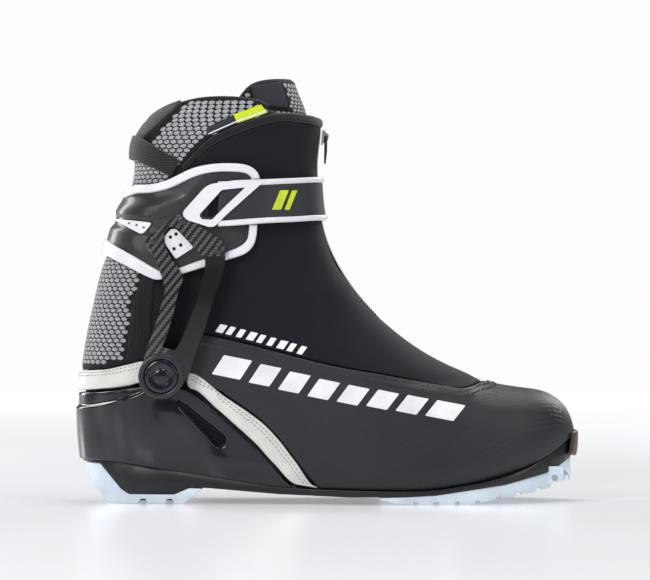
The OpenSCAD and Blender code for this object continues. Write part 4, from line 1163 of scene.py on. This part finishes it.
def vamp_marks():
    """Plain slanted bars along both sides of the seam."""
    for side, name in SIDE_NAMES:
        bars, thin = [], []
        for i, width in enumerate((17, 12.5, 12.5, 12.5, 12.5, 12.5, 12.5, 17)):
            x = -70 + i * 17.6 + (4.5 if i else 0)
            z = float(curve(SEAM, x + 8)) - mix(21.6, 18.2, i / 7)
            outline = softened(slanted(x, z, width, mix(11.4, 9.0, i / 7), 7.4, 0.2), 0.7)
            bars.append(inlay("bar", outline, [], on_skin(side), 0.2, 0.62, 0.12, 3.0))
        for i in range(9):
            x = -68 + i * 6.1
            z = float(curve(SEAM, x + 2)) + mix(3.0, 2.2, i / 8)
            outline = softened(slanted(x, z, 3.4 if i % 3 else 4.4, 4.6, 3.2, 0.22), 0.4)
            thin.append(inlay("bar", outline, [], on_skin(side), -0.1, 0.4, 0.1, 3.0))
        finish(joined("vamp_marks_" + name, bars), PRINT, "white_gloss", "boot")
        finish(joined("gaiter_marks_" + name, thin), PRINT, "white_gloss", bend=ANKLE)


vamp()
vamp_marks()

# ------------------------------------------------------------------ gaiter


def gaiter_lines():
    """The gaiter's lower and upper edges."""
    corner = np.array(GAITER_CORNER, float)
    low = np.concatenate([corner, dense(lifted(SEAM, 0.5), -84, 92.8)])
    low = over_front(places(low, LATERAL), SEAM_TIP + 0.5)
    return low, front_line(GAITER_TOP, -87, -6.2, 231.5)


def gaiter_folds(u, z):
    """Soft folds where the ankle bends, and slack along the shin."""
    x = x_at(u, z)
    bend = np.exp(-(((z - 136) / 26) ** 2)) * smooth(-70, -10, x)
    along = z - 0.34 * (x + 40)
    side = np.where((u < -1) | (u > 0), 1.3, 0.0)
    folds = np.sin(along / 7.5 + side) * 0.34 + np.sin(along / 4.6 + 1.3 + x / 21) * 0.16
    slack = np.sin(z / 31 + x / 17 + side) * 0.22 * smooth(90, 130, z)
    return bend * folds + slack


def gaiter():
    low, high = gaiter_lines()
    grid = ruled(low, high, 220, 120, 0.9)
    u, z = grid[..., 0], grid[..., 1]
    wave = gaiter_folds(u, z) * smooth(0, 8, z - curve(SEAM, x_at(u, z))) * smooth(236, 222, z)
    under_cuff = smooth(-40, -50, x_at(u, z)) * smooth(130, 140, z) * smooth(212, 204, z)
    wave = wave * (1 - under_cuff)
    finish(panel("gaiter", grid, -1.5 + wave, 0.0 + wave, 0.9), SOFTSHELL, "softshell",
           replaces=("gaiter_lower", "gaiter_flex", "gaiter_upper"), bend=ANKLE)
    under = front_line(lifted(GAITER_TOP, -4.2), -87, -6.4, 228)
    top = front_line(lifted(GAITER_TOP, 0.6), -87, -6.4, 232.2)
    edging = band("gaiter_binding_fine", under, top, 170, 12, -0.4, 1.7, 1.4)
    finish(edging, BINDING, "webbing", "cuff", ("gaiter_binding",))
    row = front_line(lifted(GAITER_TOP, -5.6), -86, -6.6, 226.4)
    stitches = stitching("binding_stitches", [row[:150], row[-150:]], 0.1, 2.8, 2.0, 0.22)
    finish(stitches, THREAD_DARK, "webbing", "cuff")


gaiter()

# ------------------------------------------------------------------ rear textile with raised cells

KNIT_FRONT = [(84, -108.4), (100, -107.2), (126, -105.4), (150, -102)]
KNIT_BACK = [(84, -121.5), (100, -119.8), (120, -117.6), (133, -112.6), (150, -109)]
COLLAR_FRONT = [(136, -103.8), (165, -98.8), (203, -90), (212, -80), (219, -72), (227.5, -54), (233.4, -38)]


def upright(points, z0, z1, side):
    """Places along a line given as x over z."""
    z = np.linspace(z0, z1, 40)
    return sided(places(np.stack([curve(points, z), z], -1), LATERAL), side)


def textile_front():
    """The lateral front edge of the rear textile, from the trim up to the collar."""
    share = np.linspace(0, 1, 60)
    lower = np.stack([mix(-108.4, -104.0, share[:20] * 3), mix(86.4, 135, share[:20] * 3)], -1)
    z = mix(136, 233.4, share)
    upper = np.stack([curve(COLLAR_FRONT, z), z], -1)
    return places(np.concatenate([[(-108.4, 86.4)], lower, upper[1:]]), LATERAL)


def rear_grid():
    """Straight columns at the back that turn into the front edge's line towards both sides."""
    columns = 120
    low = evenly(back_line(lifted(TRIM_REAR_EDGE, 0.6), -108.6, -138, 80.2), 2 * columns + 1)
    high = evenly(back_line(COLLAR_TOP, -36, -112, 224.8), 2 * columns + 1)
    up = np.linspace(0, 1, 90)
    front = spread(textile_front(), up)
    grid = []
    for i in range(2 * columns + 1):
        share = abs(i / columns - 1)
        edged = sided(front, LATERAL if i < columns else MEDIAL)
        plain = mix(low[i], high[i], up[:, None])
        grid.append(mix(plain, edged, smooth(0.55, 1.0, share)) if share < 1 else edged)
    return np.array(grid)


def rear_textile():
    """One cloth from the trim to the top of the collar, with a ribbed strip along its front."""
    finish(panel("rear_textile", rear_grid(), -1.5, 0.0, 0.7), GROUND, "cell_textile",
           replaces=("mesh_lower", "mesh_flex", "mesh_collar"), bend=ANKLE)
    for side, name in SIDE_NAMES:
        back, front = upright(KNIT_BACK, 86.5, 150, side), upright(KNIT_FRONT, 88.5, 146, side)
        strip = band("rear_knit_" + name, back, front, 60, 14, 0.0, 0.8, 0.9)
        finish(strip, KNIT, "webbing", bend=ANKLE)
    rows = [upright(lifted(KNIT_FRONT, 2.6), 94, 134, side) for side in BOTH]
    stitches = stitching("gaiter_rear_stitches", rows, 0.1, 2.4, 1.5, 0.25)
    finish(stitches, THREAD_DARK, "softshell", bend=ANKLE)


rear_textile()

ARC_Z = np.arange(60, 264, 2.0)
ARC_U = np.linspace(0, 1, 181)
ARC = np.array([lengths(skin(-ARC_U, np.full(181, z))) for z in ARC_Z])
CELL_PITCH, CELL_ROW = 4.7, 2.6
CELL_RIM = np.array([(1.95, 0.66), (0, 1.4), (-1.95, 0.66), (-1.95, -0.66), (0, -1.4), (1.95, -0.66)])
CELL_POINTS = np.concatenate([CELL_RIM, CELL_RIM * 0.95, CELL_RIM * 0.8, [(0, 0)]])
CELL_HEIGHTS = np.repeat([0.0, 0.32, 0.42, 0.46], [6, 6, 6, 1])
CELL_FACES = [
    (ring + k, ring + (k + 1) % 6, ring + 6 + (k + 1) % 6, ring + 6 + k) for ring in (0, 6) for k in range(6)
] + [(12 + k, 12 + (k + 1) % 6, 18) for k in range(6)] + [(5, 4, 3, 2, 1, 0)]


def inside(polygon, x, z):
    """Whether side-view points lie in a polygon."""
    polygon = np.asarray(polygon, float)
    found = np.zeros(np.shape(x), bool)
    for a, b in zip(polygon, np.roll(polygon, -1, axis=0)):
        crosses = (a[1] > z) != (b[1] > z)
        with np.errstate(divide="ignore", invalid="ignore"):
            found ^= crosses & (x < (b[0] - a[0]) * (z - a[1]) / (b[1] - a[1]) + a[0])
    return found


def cells(name, keep, low, high, reach, offset, from_front=False):
    """Raised six-sided cells over the part of a cloth where keep(x, z) is true."""
    points, faces = [], []
    for row, z in enumerate(np.arange(low, high, CELL_ROW), 1):
        shift = CELL_PITCH / 2 * (row % 2)
        table = np.array([np.interp(z, ARC_Z, ARC[:, i]) for i in range(len(ARC_U))])
        for s in np.arange(-reach + shift, reach, CELL_PITCH):
            arc = s + CELL_POINTS[:, 0]
            length = table[-1] - np.abs(arc) if from_front else np.abs(arc)
            if length.min() < 0 or length.max() > table[-1]:
                continue
            u = np.sign(arc + 1e-9) * np.interp(length, table, ARC_U)
            level = z + CELL_POINTS[:, 1]
            if not keep(x_at(u, level), level).all():
                continue
            faces.extend(tuple(len(points) + v for v in face) for face in CELL_FACES)
            points.extend(skin(u, level, offset(u, level) + CELL_HEIGHTS))
    return build(name, points, faces)


REAR_ZONE = [
    (-170, 82), (-138, 82.5), (-121.5, 86), (-119.8, 100), (-117.6, 120), (-112.6, 133), (-110, 146),
    (-170, 160),
]
COLLAR_ZONE = [
    (-170, 182), (-104, 190), (-97, 192.5), (-90.5, 201.5), (-80, 211.6), (-71.8, 219.4), (-53, 228.2),
    (-37, 233.6), (-36, 239), (-42, 242), (-53, 243.6), (-67, 244.2), (-81, 243.2), (-88, 241),
    (-107.5, 218.3), (-170, 218),
]


def on_cloth(u, z):
    """No height: the cells stand on the skin itself."""
    return np.zeros_like(u)


def textile_cells():
    rear = cells("rear_cells", lambda x, z: inside(REAR_ZONE, x, z), 80, 162, 75, on_cloth)
    finish(rear, CELL, "cell_textile", bend=ANKLE)
    collar = cells("collar_cells", lambda x, z: inside(COLLAR_ZONE, x, z), 184, 245, 110, on_cloth)
    finish(collar, CELL, "cell_textile", "cuff")


textile_cells()

# ------------------------------------------------------------------ tongue and liner

TONGUE_THICKNESS = 3.4
TONGUE_LABEL = [(-43.5, 239.4), (-45.5, 253.4), (-22.5, 257.4), (-18.4, 239.4)]
TONGUE_REACH = [(80, 0.79), (166, 0.79), (190, 0.785), (205, 0.72), (222, 0.58), (236, 0.5), (246, 0.5)]


def tongue_depth(z):
    """How far the tongue's inner face lies inside the skin, as a negative number."""
    return -7 - 4.2 * smooth(168, 196, z)


def tongue_top(side):
    """The tongue's upper edge: side is 0 in the middle and 1 at its borders."""
    return 258.6 - 2.6 * side**2 - 9.5 * side**7


def tongue():
    across, up = np.linspace(0, 1, 81), np.linspace(0, 1, 111)
    t, j = np.meshgrid(across, up, indexing="ij")
    side = np.abs(2 * t - 1)
    z = mix(mix(80, 77, 1 - side), tongue_top(side), j)
    reach = curve(TONGUE_REACH, z)
    grid = np.stack([mix(reach, 2 - reach, t), z], -1)
    depth = tongue_depth(z)
    puff = 0.5 * np.sin(np.pi * t) * smooth(200, 240, z)
    sheet = panel("tongue", grid, depth - 0.3, depth + TONGUE_THICKNESS + puff, 2.6)
    nodes = ("tongue_lower", "tongue_flex", "tongue_upper")
    finish(sheet, GROUND, "cell_textile", replaces=nodes, bend=ANKLE)

    def on_tongue(x, z):
        share = np.clip((1 - u_at(x, z)) / (1 - curve(TONGUE_REACH, z)), 0, 1)
        return (z < tongue_top(share) - 1.2) & (share < 0.99) & ~inside(TONGUE_LABEL, x, z)

    def cell_base(u, z):
        return tongue_depth(z) + TONGUE_THICKNESS + 0.1

    cover = cells("tongue_cells", on_tongue, 226, 256, 70, cell_base, True)
    finish(cover, CELL, "cell_textile", "cuff")


LINER_INNER, LINER_OUTER = -7.1, -3.7
LINER_CUT = [(-150, 98), (-110, 99), (-60, 108), (0, 116), (30, 112)]
FOOT_STATIONS = np.array([0, 0.12, 0.3, 0.5, 0.65, 0.78, 0.86, 0.92, 0.96, 1])


def straight_columns(u, low, high, stations):
    """A grid of straight columns at u between two levels, with places at those shares of the way."""
    low, high = (np.broadcast_to(level, u.shape)[:, None] for level in (low, high))
    return np.stack([np.repeat(u[:, None], len(stations), 1), mix(low, high, stations[None])], -1)


def liner():
    u = np.linspace(-1, 1, 120, endpoint=False)
    low = feather_z(x_at(u, np.full_like(u, 40.0))) + 2.4
    grid = straight_columns(u, low, 72.0, FOOT_STATIONS)
    foot = panel("liner_foot", grid, LINER_INNER, LINER_OUTER, 0, True)
    finish(foot, LINING, "liner_foam", "boot", ("liner_heel", "liner_toe"))
    u = np.linspace(-0.74, 0.74, 110)
    high = curve(LINER_CUT, x_at(u, np.full_like(u, 100.0)))
    grid = straight_columns(u, 71.6, high, shares(26, 30, 1.5))
    ankle = panel("liner_ankle_fine", grid, LINER_INNER, LINER_OUTER, 1.5)
    finish(ankle, LINING, "liner_foam", "boot", ("liner_ankle",))
    rim = [(-118, 224)] + COLLAR_TOP + [(-20, 236)]
    u = np.linspace(-0.77, 0.77, 120)
    low = curve(LINER_CUT, x_at(u, np.full_like(u, 100.0))) - 2
    high = mix(223, curve(rim, x_at(u, np.full_like(u, 236.0))) - 1.6, np.minimum(1, np.abs(u) / 0.12))
    grid = straight_columns(u, low, high, shares(70, 130, 2.6))
    collar = panel("liner_collar_fine", grid, LINER_INNER, -2.2, 2.6)
    finish(collar, LINING, "liner_foam", replaces=("liner_flex", "liner_collar"), bend=ANKLE)


tongue()
liner()


def collar_pad():
    """A cushion along the collar's rear edge, thinning out towards the front."""
    low, high = [], []
    for x in np.linspace(-88.5, -110.8, 40):
        top = float(curve([(-118, 222.4)] + COLLAR_TOP, x)) + 1.0
        share = (x + 88.5) / -22.3
        low.append((x, min(top - 0.8, mix(240.0, 219.4, share**0.85))))
        high.append((x, top))
    low = round_back(places(low, LATERAL), 219.0)
    high = round_back(places(high, LATERAL), 226.8)
    pad = band("collar_pad_fine", low, high, 120, 22, -0.6, 2.2, 2.2)
    finish(pad, PAD, "pad_fabric", "cuff", ("collar_pad",))


LOOP_LOW = [(-115, 208), (-110, 205), (-103, 201.5), (-96.5, 198), (-91, 195.5)]
LOOP_HIGH = [(-113, 221), (-107, 217.5), (-98, 212), (-91, 208), (-87, 205.5)]


def pull_loop():
    """A webbing loop round the back, sewn down at its ends and free of the cloth in the middle."""
    low = back_line(LOOP_LOW, -94, -112.5, 208.4)
    high = back_line(LOOP_HIGH, -89, -111.5, 221.6)
    grid = ruled(low, high, 150, 20, 0.9)
    away = smooth(0.32, 0.1, np.abs(grid[..., 0]))
    loop = panel("pull_loop_fine", grid, mix(0.55, 2.2, away), mix(1.9, 3.8, away), 0.9)
    finish(loop, WEBBING, "webbing", "cuff", ("pull_loop",))


def collar_label():
    """A label of two colours with a printed line, on the collar's lateral side."""
    low = places(np.array([(-72.6, 220.6), (-54, 228.9), (-36.6, 235.2)]), LATERAL)
    high = places(np.array([(-72.9, 226), (-56, 234.2), (-40.6, 240)]), LATERAL)
    for name, start, end, material, slot, replaces in (
            ("collar_label_lime", 0.5, 1, LIME, "lime", ("collar_label",)),
            ("collar_label_dark", 0, 0.5, LABEL, "label_dark", ())):
        part = np.linspace(start, end, 20)
        half = band(name, spread(low, part), spread(high, part), 24, 10, 0.1, 1.0, 0.5)
        finish(half, material, slot, "cuff", replaces)
    within = np.linspace(0.03, 0.97, 30)
    low, high = spread(low, within), spread(high, within)
    line = band("collar_label_line", mix(low, high, 0.16), mix(low, high, 0.28), 40, 2, 0.9, 1.15, 0.0)
    finish(line, PRINT, "white_gloss", "cuff")


def tongue_label():
    low = places(np.array([(-42.5, 240.6), (-19.4, 239.8)]), LATERAL)
    high = places(np.array([(-44.4, 252.6), (-24, 256.2)]), LATERAL)
    grid = ruled(low, high, 26, 18, 0.7)
    depth = tongue_depth(grid[..., 1]) + TONGUE_THICKNESS
    label = panel("tongue_label_fine", grid, depth, depth + 1.1, 0.7)
    finish(label, LABEL, "label_dark", "cuff", ("tongue_label",))


def collar_roll():
    """The rolled edge along the top of the collar."""
    top = places(dense(COLLAR_TOP, -36, -112), LATERAL)
    low, high = round_back(top - (0, 1.6), 223.2), round_back(top + (0, 0.9), 226.2)
    roll = band("collar_roll", low, high, 170, 12, -5.8, 0.7, 1.2)
    finish(roll, PAD, "pad_fabric", "cuff")


collar_pad()
pull_loop()
collar_label()
tongue_label()
collar_roll()

# ------------------------------------------------------------------ cuff shell


CUFF_THICKNESS = 3.3
UPPER_CREASE = [(-138, 173), (-118, 176.5), (-100, 177.5), (-84, 184), (-72, 198)]
LOWER_CREASE = [(-137, 166), (-120, 158), (-106, 150), (-98, 143)]
VENT_SEAT = [(-127, 170), (-114, 167.4), (-104, 165)]


def cuff_relief(x, z):
    """The shell's outer distance: two raised creases, and a hollow that the rear vent sits in."""
    upper = 1.2 * smooth(8, 0, distance_to(UPPER_CREASE, x, z))
    lower = 0.8 * smooth(7, 0, distance_to(LOWER_CREASE, x, z))
    seat = 1.5 * smooth(5.5, 1.5, distance_to(VENT_SEAT, x, z))
    return CUFF_THICKNESS + smooth(-134, -120, x) * (upper + lower) - seat


CUFF_HIGH_INNER = [
    (-113, 186.2), (-104, 186.8), (-94, 189.4), (-78, 197.2), (-67, 199.6), (-56, 199.6), (-50.5, 198.8),
    (-47.8, 197), (-46.6, 194.5),
]
CUFF_LOW_INNER = [
    (-126, 154.6), (-116, 149), (-103, 141.4), (-98, 139.4), (-80, 145.6), (-62, 151.4), (-53.5, 154.8),
    (-49.6, 158), (-48.4, 161.5), (-48.0, 168),
]


def round_cuff(points, z_back):
    """A smooth side-view line from front to rear, carried round the back."""
    return round_back(places(path(points[::-1]), LATERAL), z_back)


def cuff():
    low, high = round_cuff(CUFF_LOW, CUFF_LOW_BACK), round_cuff(CUFF_HIGH, CUFF_HIGH_BACK)
    grid = ruled(low, high, 200, 60, 1.0)
    relief = cuff_relief(x_at(grid[..., 0], grid[..., 1]), grid[..., 1])
    shell = panel("cuff_shell_fine", grid, 0.9, relief, 1.0)
    finish(shell, SHELL_GLOSS, "shell_gloss", "cuff", ("cuff_shell",))
    inner = round_cuff(CUFF_HIGH_INNER, 182.6)
    rim = band("cuff_rim_top_fine", inner, high, 190, 12, 2.2, 5.2, 1.3)
    finish(rim, WHITE_GLOSS, "white_gloss", "cuff", ("cuff_rim_top",))
    inner = round_cuff(CUFF_LOW_INNER, 158.8)
    rim = band("cuff_rim_bottom_fine", low, inner, 190, 12, 2.2, 5.0, 1.3)
    finish(rim, WHITE_GLOSS, "white_gloss", "cuff", ("cuff_rim_bottom",))


cuff()

REAR_VENT = [(-127.6, 170.6), (-116, 169.8), (-104.4, 168.6), (-110.4, 161.6), (-118, 165.4)]
REAR_VENT_HOLES = [(-118, 168.2), (-113.6, 167.2), (-109.4, 165.8)]
SIDE_VENT = [(-98.2, 160.8), (-94, 165.4), (-91, 165.2), (-80.6, 154.2), (-91.4, 147.2), (-98, 157)]
SIDE_VENT_HOLES = [(-94.6, 160.4), (-91.2, 162.2), (-92.4, 153.4), (-88.4, 155.6)]


def vents():
    """White vent frames, each with a dark plate behind its holes as painted shadow."""
    face = side_box("brace_medial")[0][1]
    rear_frame, side_frame = softened(REAR_VENT, 2.2), softened(SIDE_VENT, 1.4)
    rear_holes = [disc(c, 0.75, 14) for c in REAR_VENT_HOLES]
    side_holes = [disc(c, 1.1, 16) for c in SIDE_VENT_HOLES]
    rear, shadow_plates, flat = [], [], []
    for side in BOTH:
        rear.append(inlay("frame", rear_frame, rear_holes, on_skin(side), 2.0, 3.4, 0.3))
        shadow_plates.append(inlay("back", rear_frame, [], on_skin(side), 1.7, 2.1, 0))
        flat.append(inlay("frame", side_frame, side_holes, flat_side(side), face - 0.2, face + 1.4, 0.4))
        shadow_plates.append(inlay("back", side_frame, [], flat_side(side), face - 0.6, face - 0.1, 0))
    finish(joined("rear_vents_fine", rear), WHITE_GLOSS, "white_gloss", "cuff", ("rear_vents",))
    finish(joined("side_vents_fine", flat), WHITE_GLOSS, "white_gloss", "cuff", ("side_vents",))
    finish(joined("vent_hole_shadows", shadow_plates), HOLE_SHADOW, "shell_gloss", "cuff")


vents()

# ------------------------------------------------------------------ braces

BRACE = [
    (-85.6, 70.1), (-82.8, 80), (-78.6, 92.5), (-74.4, 103.8), (-68.8, 122), (-63.9, 136), (-61.8, 143),
    (-61.5, 151.4), (-62.5, 157), (-67.4, 161), (-72.4, 164), (-88.2, 174.1), (-90.6, 173.9), (-101, 165.4),
    (-109.4, 159.8), (-109.4, 157), (-103.1, 147.2), (-98.5, 132.5), (-97.5, 129), (-99.6, 120.6),
    (-103.8, 106.5), (-108, 95.3), (-110.8, 85.5),
]
BRACE_WINDOW = [
    (-99.6, 94.5), (-96.8, 101), (-92.6, 115), (-89.8, 127.6), (-87, 134.6), (-87.7, 138.8), (-95.4, 150),
    (-98.9, 157), (-98.5, 162.6), (-95.4, 166.8), (-91.2, 166.3), (-81.4, 155.6), (-73.7, 147.2),
    (-73.7, 143), (-74.4, 137.4), (-77.2, 127.6), (-81.4, 115), (-87, 101), (-91.4, 92.6),
]
BRACE_RIVETS = [(-104.5, 158.5), (-66, 152.5), (-87.5, 170.2)]
BRACE_T = 3.8
EYE_NEAR, ARM_NEAR = 44.2, 43.1
EYE_FAR, ARM_FAR = EYE_NEAR + BRACE_T, ARM_NEAR + BRACE_T
EYE_RING = [
    (0, EYE_FAR - 2.0), (CAP_R + 0.4, EYE_FAR - 2.0), (CAP_R + 0.45, EYE_FAR + 0.9),
    (CAP_R + 0.9, EYE_FAR + 1.35), (EYE_R - 0.9, EYE_FAR + 1.3), (EYE_R - 0.1, EYE_FAR + 0.7),
    (EYE_R + 0.05, EYE_FAR - 1.2), (0, EYE_FAR - 2.2),
]
BRACE_RIVET = [
    (0, ARM_FAR - 1.5), (1.5, ARM_FAR - 1.5), (1.5, ARM_FAR), (2.6, ARM_FAR + 0.05),
    (2.5, ARM_FAR + 0.35), (1.7, ARM_FAR + 0.7), (0, ARM_FAR + 0.85),
]


def bent(side):
    """The brace steps outwards from its upper arms to its eye."""
    def place(x, z, d):
        out = mix(EYE_NEAR, ARM_NEAR, smooth(118, 146, z))
        return np.stack([x, side * (out + d), z], -1)
    return place


def hinge_angle(point):
    return math.atan2(point[1] - HINGE[2], point[0] - HINGE[0])


def brace_outline():
    """The outline of the arms, closed by an arc round the hinge."""
    turn = np.linspace(hinge_angle(BRACE[-1]) - 2 * math.pi, hinge_angle(BRACE[0]), 40)
    arc = np.stack([HINGE[0] + EYE_R * np.cos(turn), HINGE[2] + EYE_R * np.sin(turn)], -1)
    return np.concatenate([softened(BRACE, 1.6)[5:-5], arc])


def braces():
    openings = [softened(BRACE_WINDOW, 1.4), disc(HINGE_CENTRE, CAP_R + 0.5, 64)]
    rivets = []
    for side, name in SIDE_NAMES:
        node = "brace_" + name
        plate = inlay(node + "_fine", brace_outline(), openings, bent(side), 0.0, BRACE_T, 0.9, 5.0)
        finish(plate, CARBON, "carbon_fibre", "cuff", (node,))
        ring = lathe(node + "_eye", EYE_RING, HINGE_CENTRE, side, 96)
        finish(ring, SHELL_GLOSS, "carbon_fibre", "cuff")
        rivets += [lathe("rivet", BRACE_RIVET, p, side, 24) for p in BRACE_RIVETS]
    finish(joined("brace_rivets_fine", rivets), DARK_STEEL, "steel", "cuff", ("brace_rivets",))


braces()

# ------------------------------------------------------------------ strap

STRAP_LOW = [(-66, 167.2), (-44, 168.4), (-22, 169.6), (-6, 170.6)]
STRAP_WIDTH = 26.4
STRAP_BEND = ("cuff", "strap", (-0.060, 0.0465, 0.183), (-0.048, 0.0330, 0.183))


def strap_lift(u, z):
    """The strap's inner distance from the skin: near the gaiter in front, over the cuff shell behind."""
    return mix(1.2, 4.55, smooth(-20, -40, x_at(u, z)))


def strap_line(dz, tail=-74.0):
    """Along the strap from its lateral end, round the front, to its riveted tail."""
    lateral = places(dense(lifted(STRAP_LOW, dz), -66, -6.8), LATERAL)
    tail_points = [(tail, 167.2 + dz + (2.4 if dz < STRAP_WIDTH / 2 else -2.4))] + lifted(STRAP_LOW, dz)
    medial = places(dense(tail_points, tail, -6.8), LATERAL)
    return np.concatenate([lateral, [[-1.0, 171 + dz]], mirrored(medial) - (2, 0)])


HANDLE_FRAME = [
    (-39.5, 195.3), (-56, 194.7), (-70.4, 192.4), (-74, 190.4), (-86.6, 176.2), (-87.2, 173.6),
    (-84.6, 170.6), (-71, 166.4), (-67.8, 166.9),
]
HANDLE_WINDOW = [(-50.8, 190.4), (-63.8, 188.9), (-77.2, 173.8), (-76.0, 171.2), (-69.6, 170.7)]
TAIL_RIVET = [(0, 46.2), (3.0, 46.2), (3.1, 47.2), (2.6, 47.9), (1.4, 48.3), (0, 48.4)]
TAIL_RIVETS = [(-66, 176), (-66, 186)]


def strap_sheet(name, low, high, rows, inner, outer, r):
    """A sheet between two lines, at distances from the strap's inner face."""
    grid = ruled(low, high, 170, rows, r)
    lift = strap_lift(grid[..., 0], grid[..., 1])
    return panel(name, grid, lift + inner, lift + outer, r)


def strap():
    sheet = strap_sheet("strap", strap_line(0), strap_line(STRAP_WIDTH), 22, 0.0, 2.2, 0.9)
    finish(sheet, STRAP_GREY, "strap_grey", replaces=("strap_band", "strap_tail"), bend=STRAP_BEND)
    edges = []
    for low, high in ((-0.3, 3.2), (STRAP_WIDTH - 3.2, STRAP_WIDTH + 0.3)):
        edges.append(strap_sheet("edge", strap_line(low, -60.0), strap_line(high, -60.0), 10, 0.3, 3.1, 1.0))
    finish(joined("strap_edges_fine", edges), WHITE_GLOSS, "white_gloss",
           replaces=("strap_edges",), bend=STRAP_BEND)
    window = softened(HANDLE_WINDOW, 1)
    frame_outline = softened(HANDLE_FRAME, 1.6)
    handle = inlay("strap_handle_fine", frame_outline, [window], handle_place, 5.6, 8.2, 0.8, 3.0)
    finish(handle, WHITE_GLOSS, "white_gloss", "strap", ("strap_handle",))
    opening = softened(shrunk(HANDLE_WINDOW, 1.7), 1)
    rim = inlay("strap_handle_rim", window, [opening], handle_place, 4.6, 7.2, 0.3, 3.0)
    finish(rim, STRAP_GREY, "strap_grey", "strap")
    bars = []
    for x, width in ((-36.0, 5.2), (-28.6, 3.0)):
        outline = softened(slanted(x, 176.6, width, 12.0, 4.6, -0.02), 0.5)
        bars.append(inlay("bar", outline, [], lateral_strap_place, 2.1, 2.75, 0.2, 2.0))
    finish(joined("strap_mark_fine", bars), LIME, "lime", "strap", ("strap_mark",))
    heads = [lathe("rivet", TAIL_RIVET, p, MEDIAL, 28) for p in TAIL_RIVETS]
    finish(joined("tail_rivets_fine", heads), STEEL, "steel", "cuff", ("tail_rivets",))


def lateral_strap_place(x, z, d):
    """Points at a distance from the strap's inner face, on the lateral side."""
    u = LATERAL * u_at(x, z)
    return skin(u, z, strap_lift(u, z) + d)


def handle_place(x, z, d):
    """The handle lies on the strap in front and stands straight behind it."""
    ahead = np.maximum(x, -66.0)
    point = at_side(ahead, z, LATERAL, d)
    point[..., 0] += x - ahead
    return point


def shrunk(outline, inset):
    """An outline with each point moved towards the middle by the inset."""
    centre = np.mean(outline, axis=0)
    arms = [np.array(p) - centre for p in outline]
    return [tuple(centre + arm * (1 - inset / max(1.0, np.linalg.norm(arm)))) for arm in arms]


strap()

# ------------------------------------------------------------------ zip


def zip_parts():
    """Teeth and tape down the front line, with the frame's slider and puller."""
    across = np.linspace(-1 + 0.022, -1 - 0.022, 9)
    grid = np.stack(np.meshgrid(across, np.linspace(112, 229, 60), indexing="ij"), -1)
    finish(panel("zip_tape", grid, -0.2, 0.25), WEBBING, "webbing", bend=ANKLE)
    heights = np.arange(114, 228, 1.25)
    u = -1 + 0.004 * np.where(np.arange(len(heights)) % 2, 1, -1)
    centres = skin(u, heights, 0.45)
    above = skin(u, heights, 1.45)
    tangents = np.tile([0.0, 1.0, 0.0], (len(heights), 1))
    teeth = beads("zip_chain", centres, tangents, above - centres, 3.0, 0.42, 0.0)
    finish(teeth, SOLE_PLASTIC, "zip_metal", replaces=("zip_teeth",), bend=ANKLE)
    finish(refined("zip_slider", 0.35), ZIP_PAINT, "zip_metal", "zip_slider", ("zip_slider",))
    finish(refined("zip_puller", 0.35), SOLE_PLASTIC, "webbing", "zip_puller", ("zip_puller",))


zip_parts()

# ------------------------------------------------------------------ CAD nodes that show as they are

KEPT = {
    "toe_bar": STEEL, "hinge_washers": STEEL, "hinge_rivets": STEEL, "shank": SHANK, "lasting_board": BOARD,
    "toe_puff": BOARD, "eyestays": KNIT, "lace": THREAD_PALE, "hook_patch": KNIT,
}
for node_name, node_material in KEPT.items():
    NODES[node_name].data.materials.clear()
    NODES[node_name].data.materials.append(node_material)
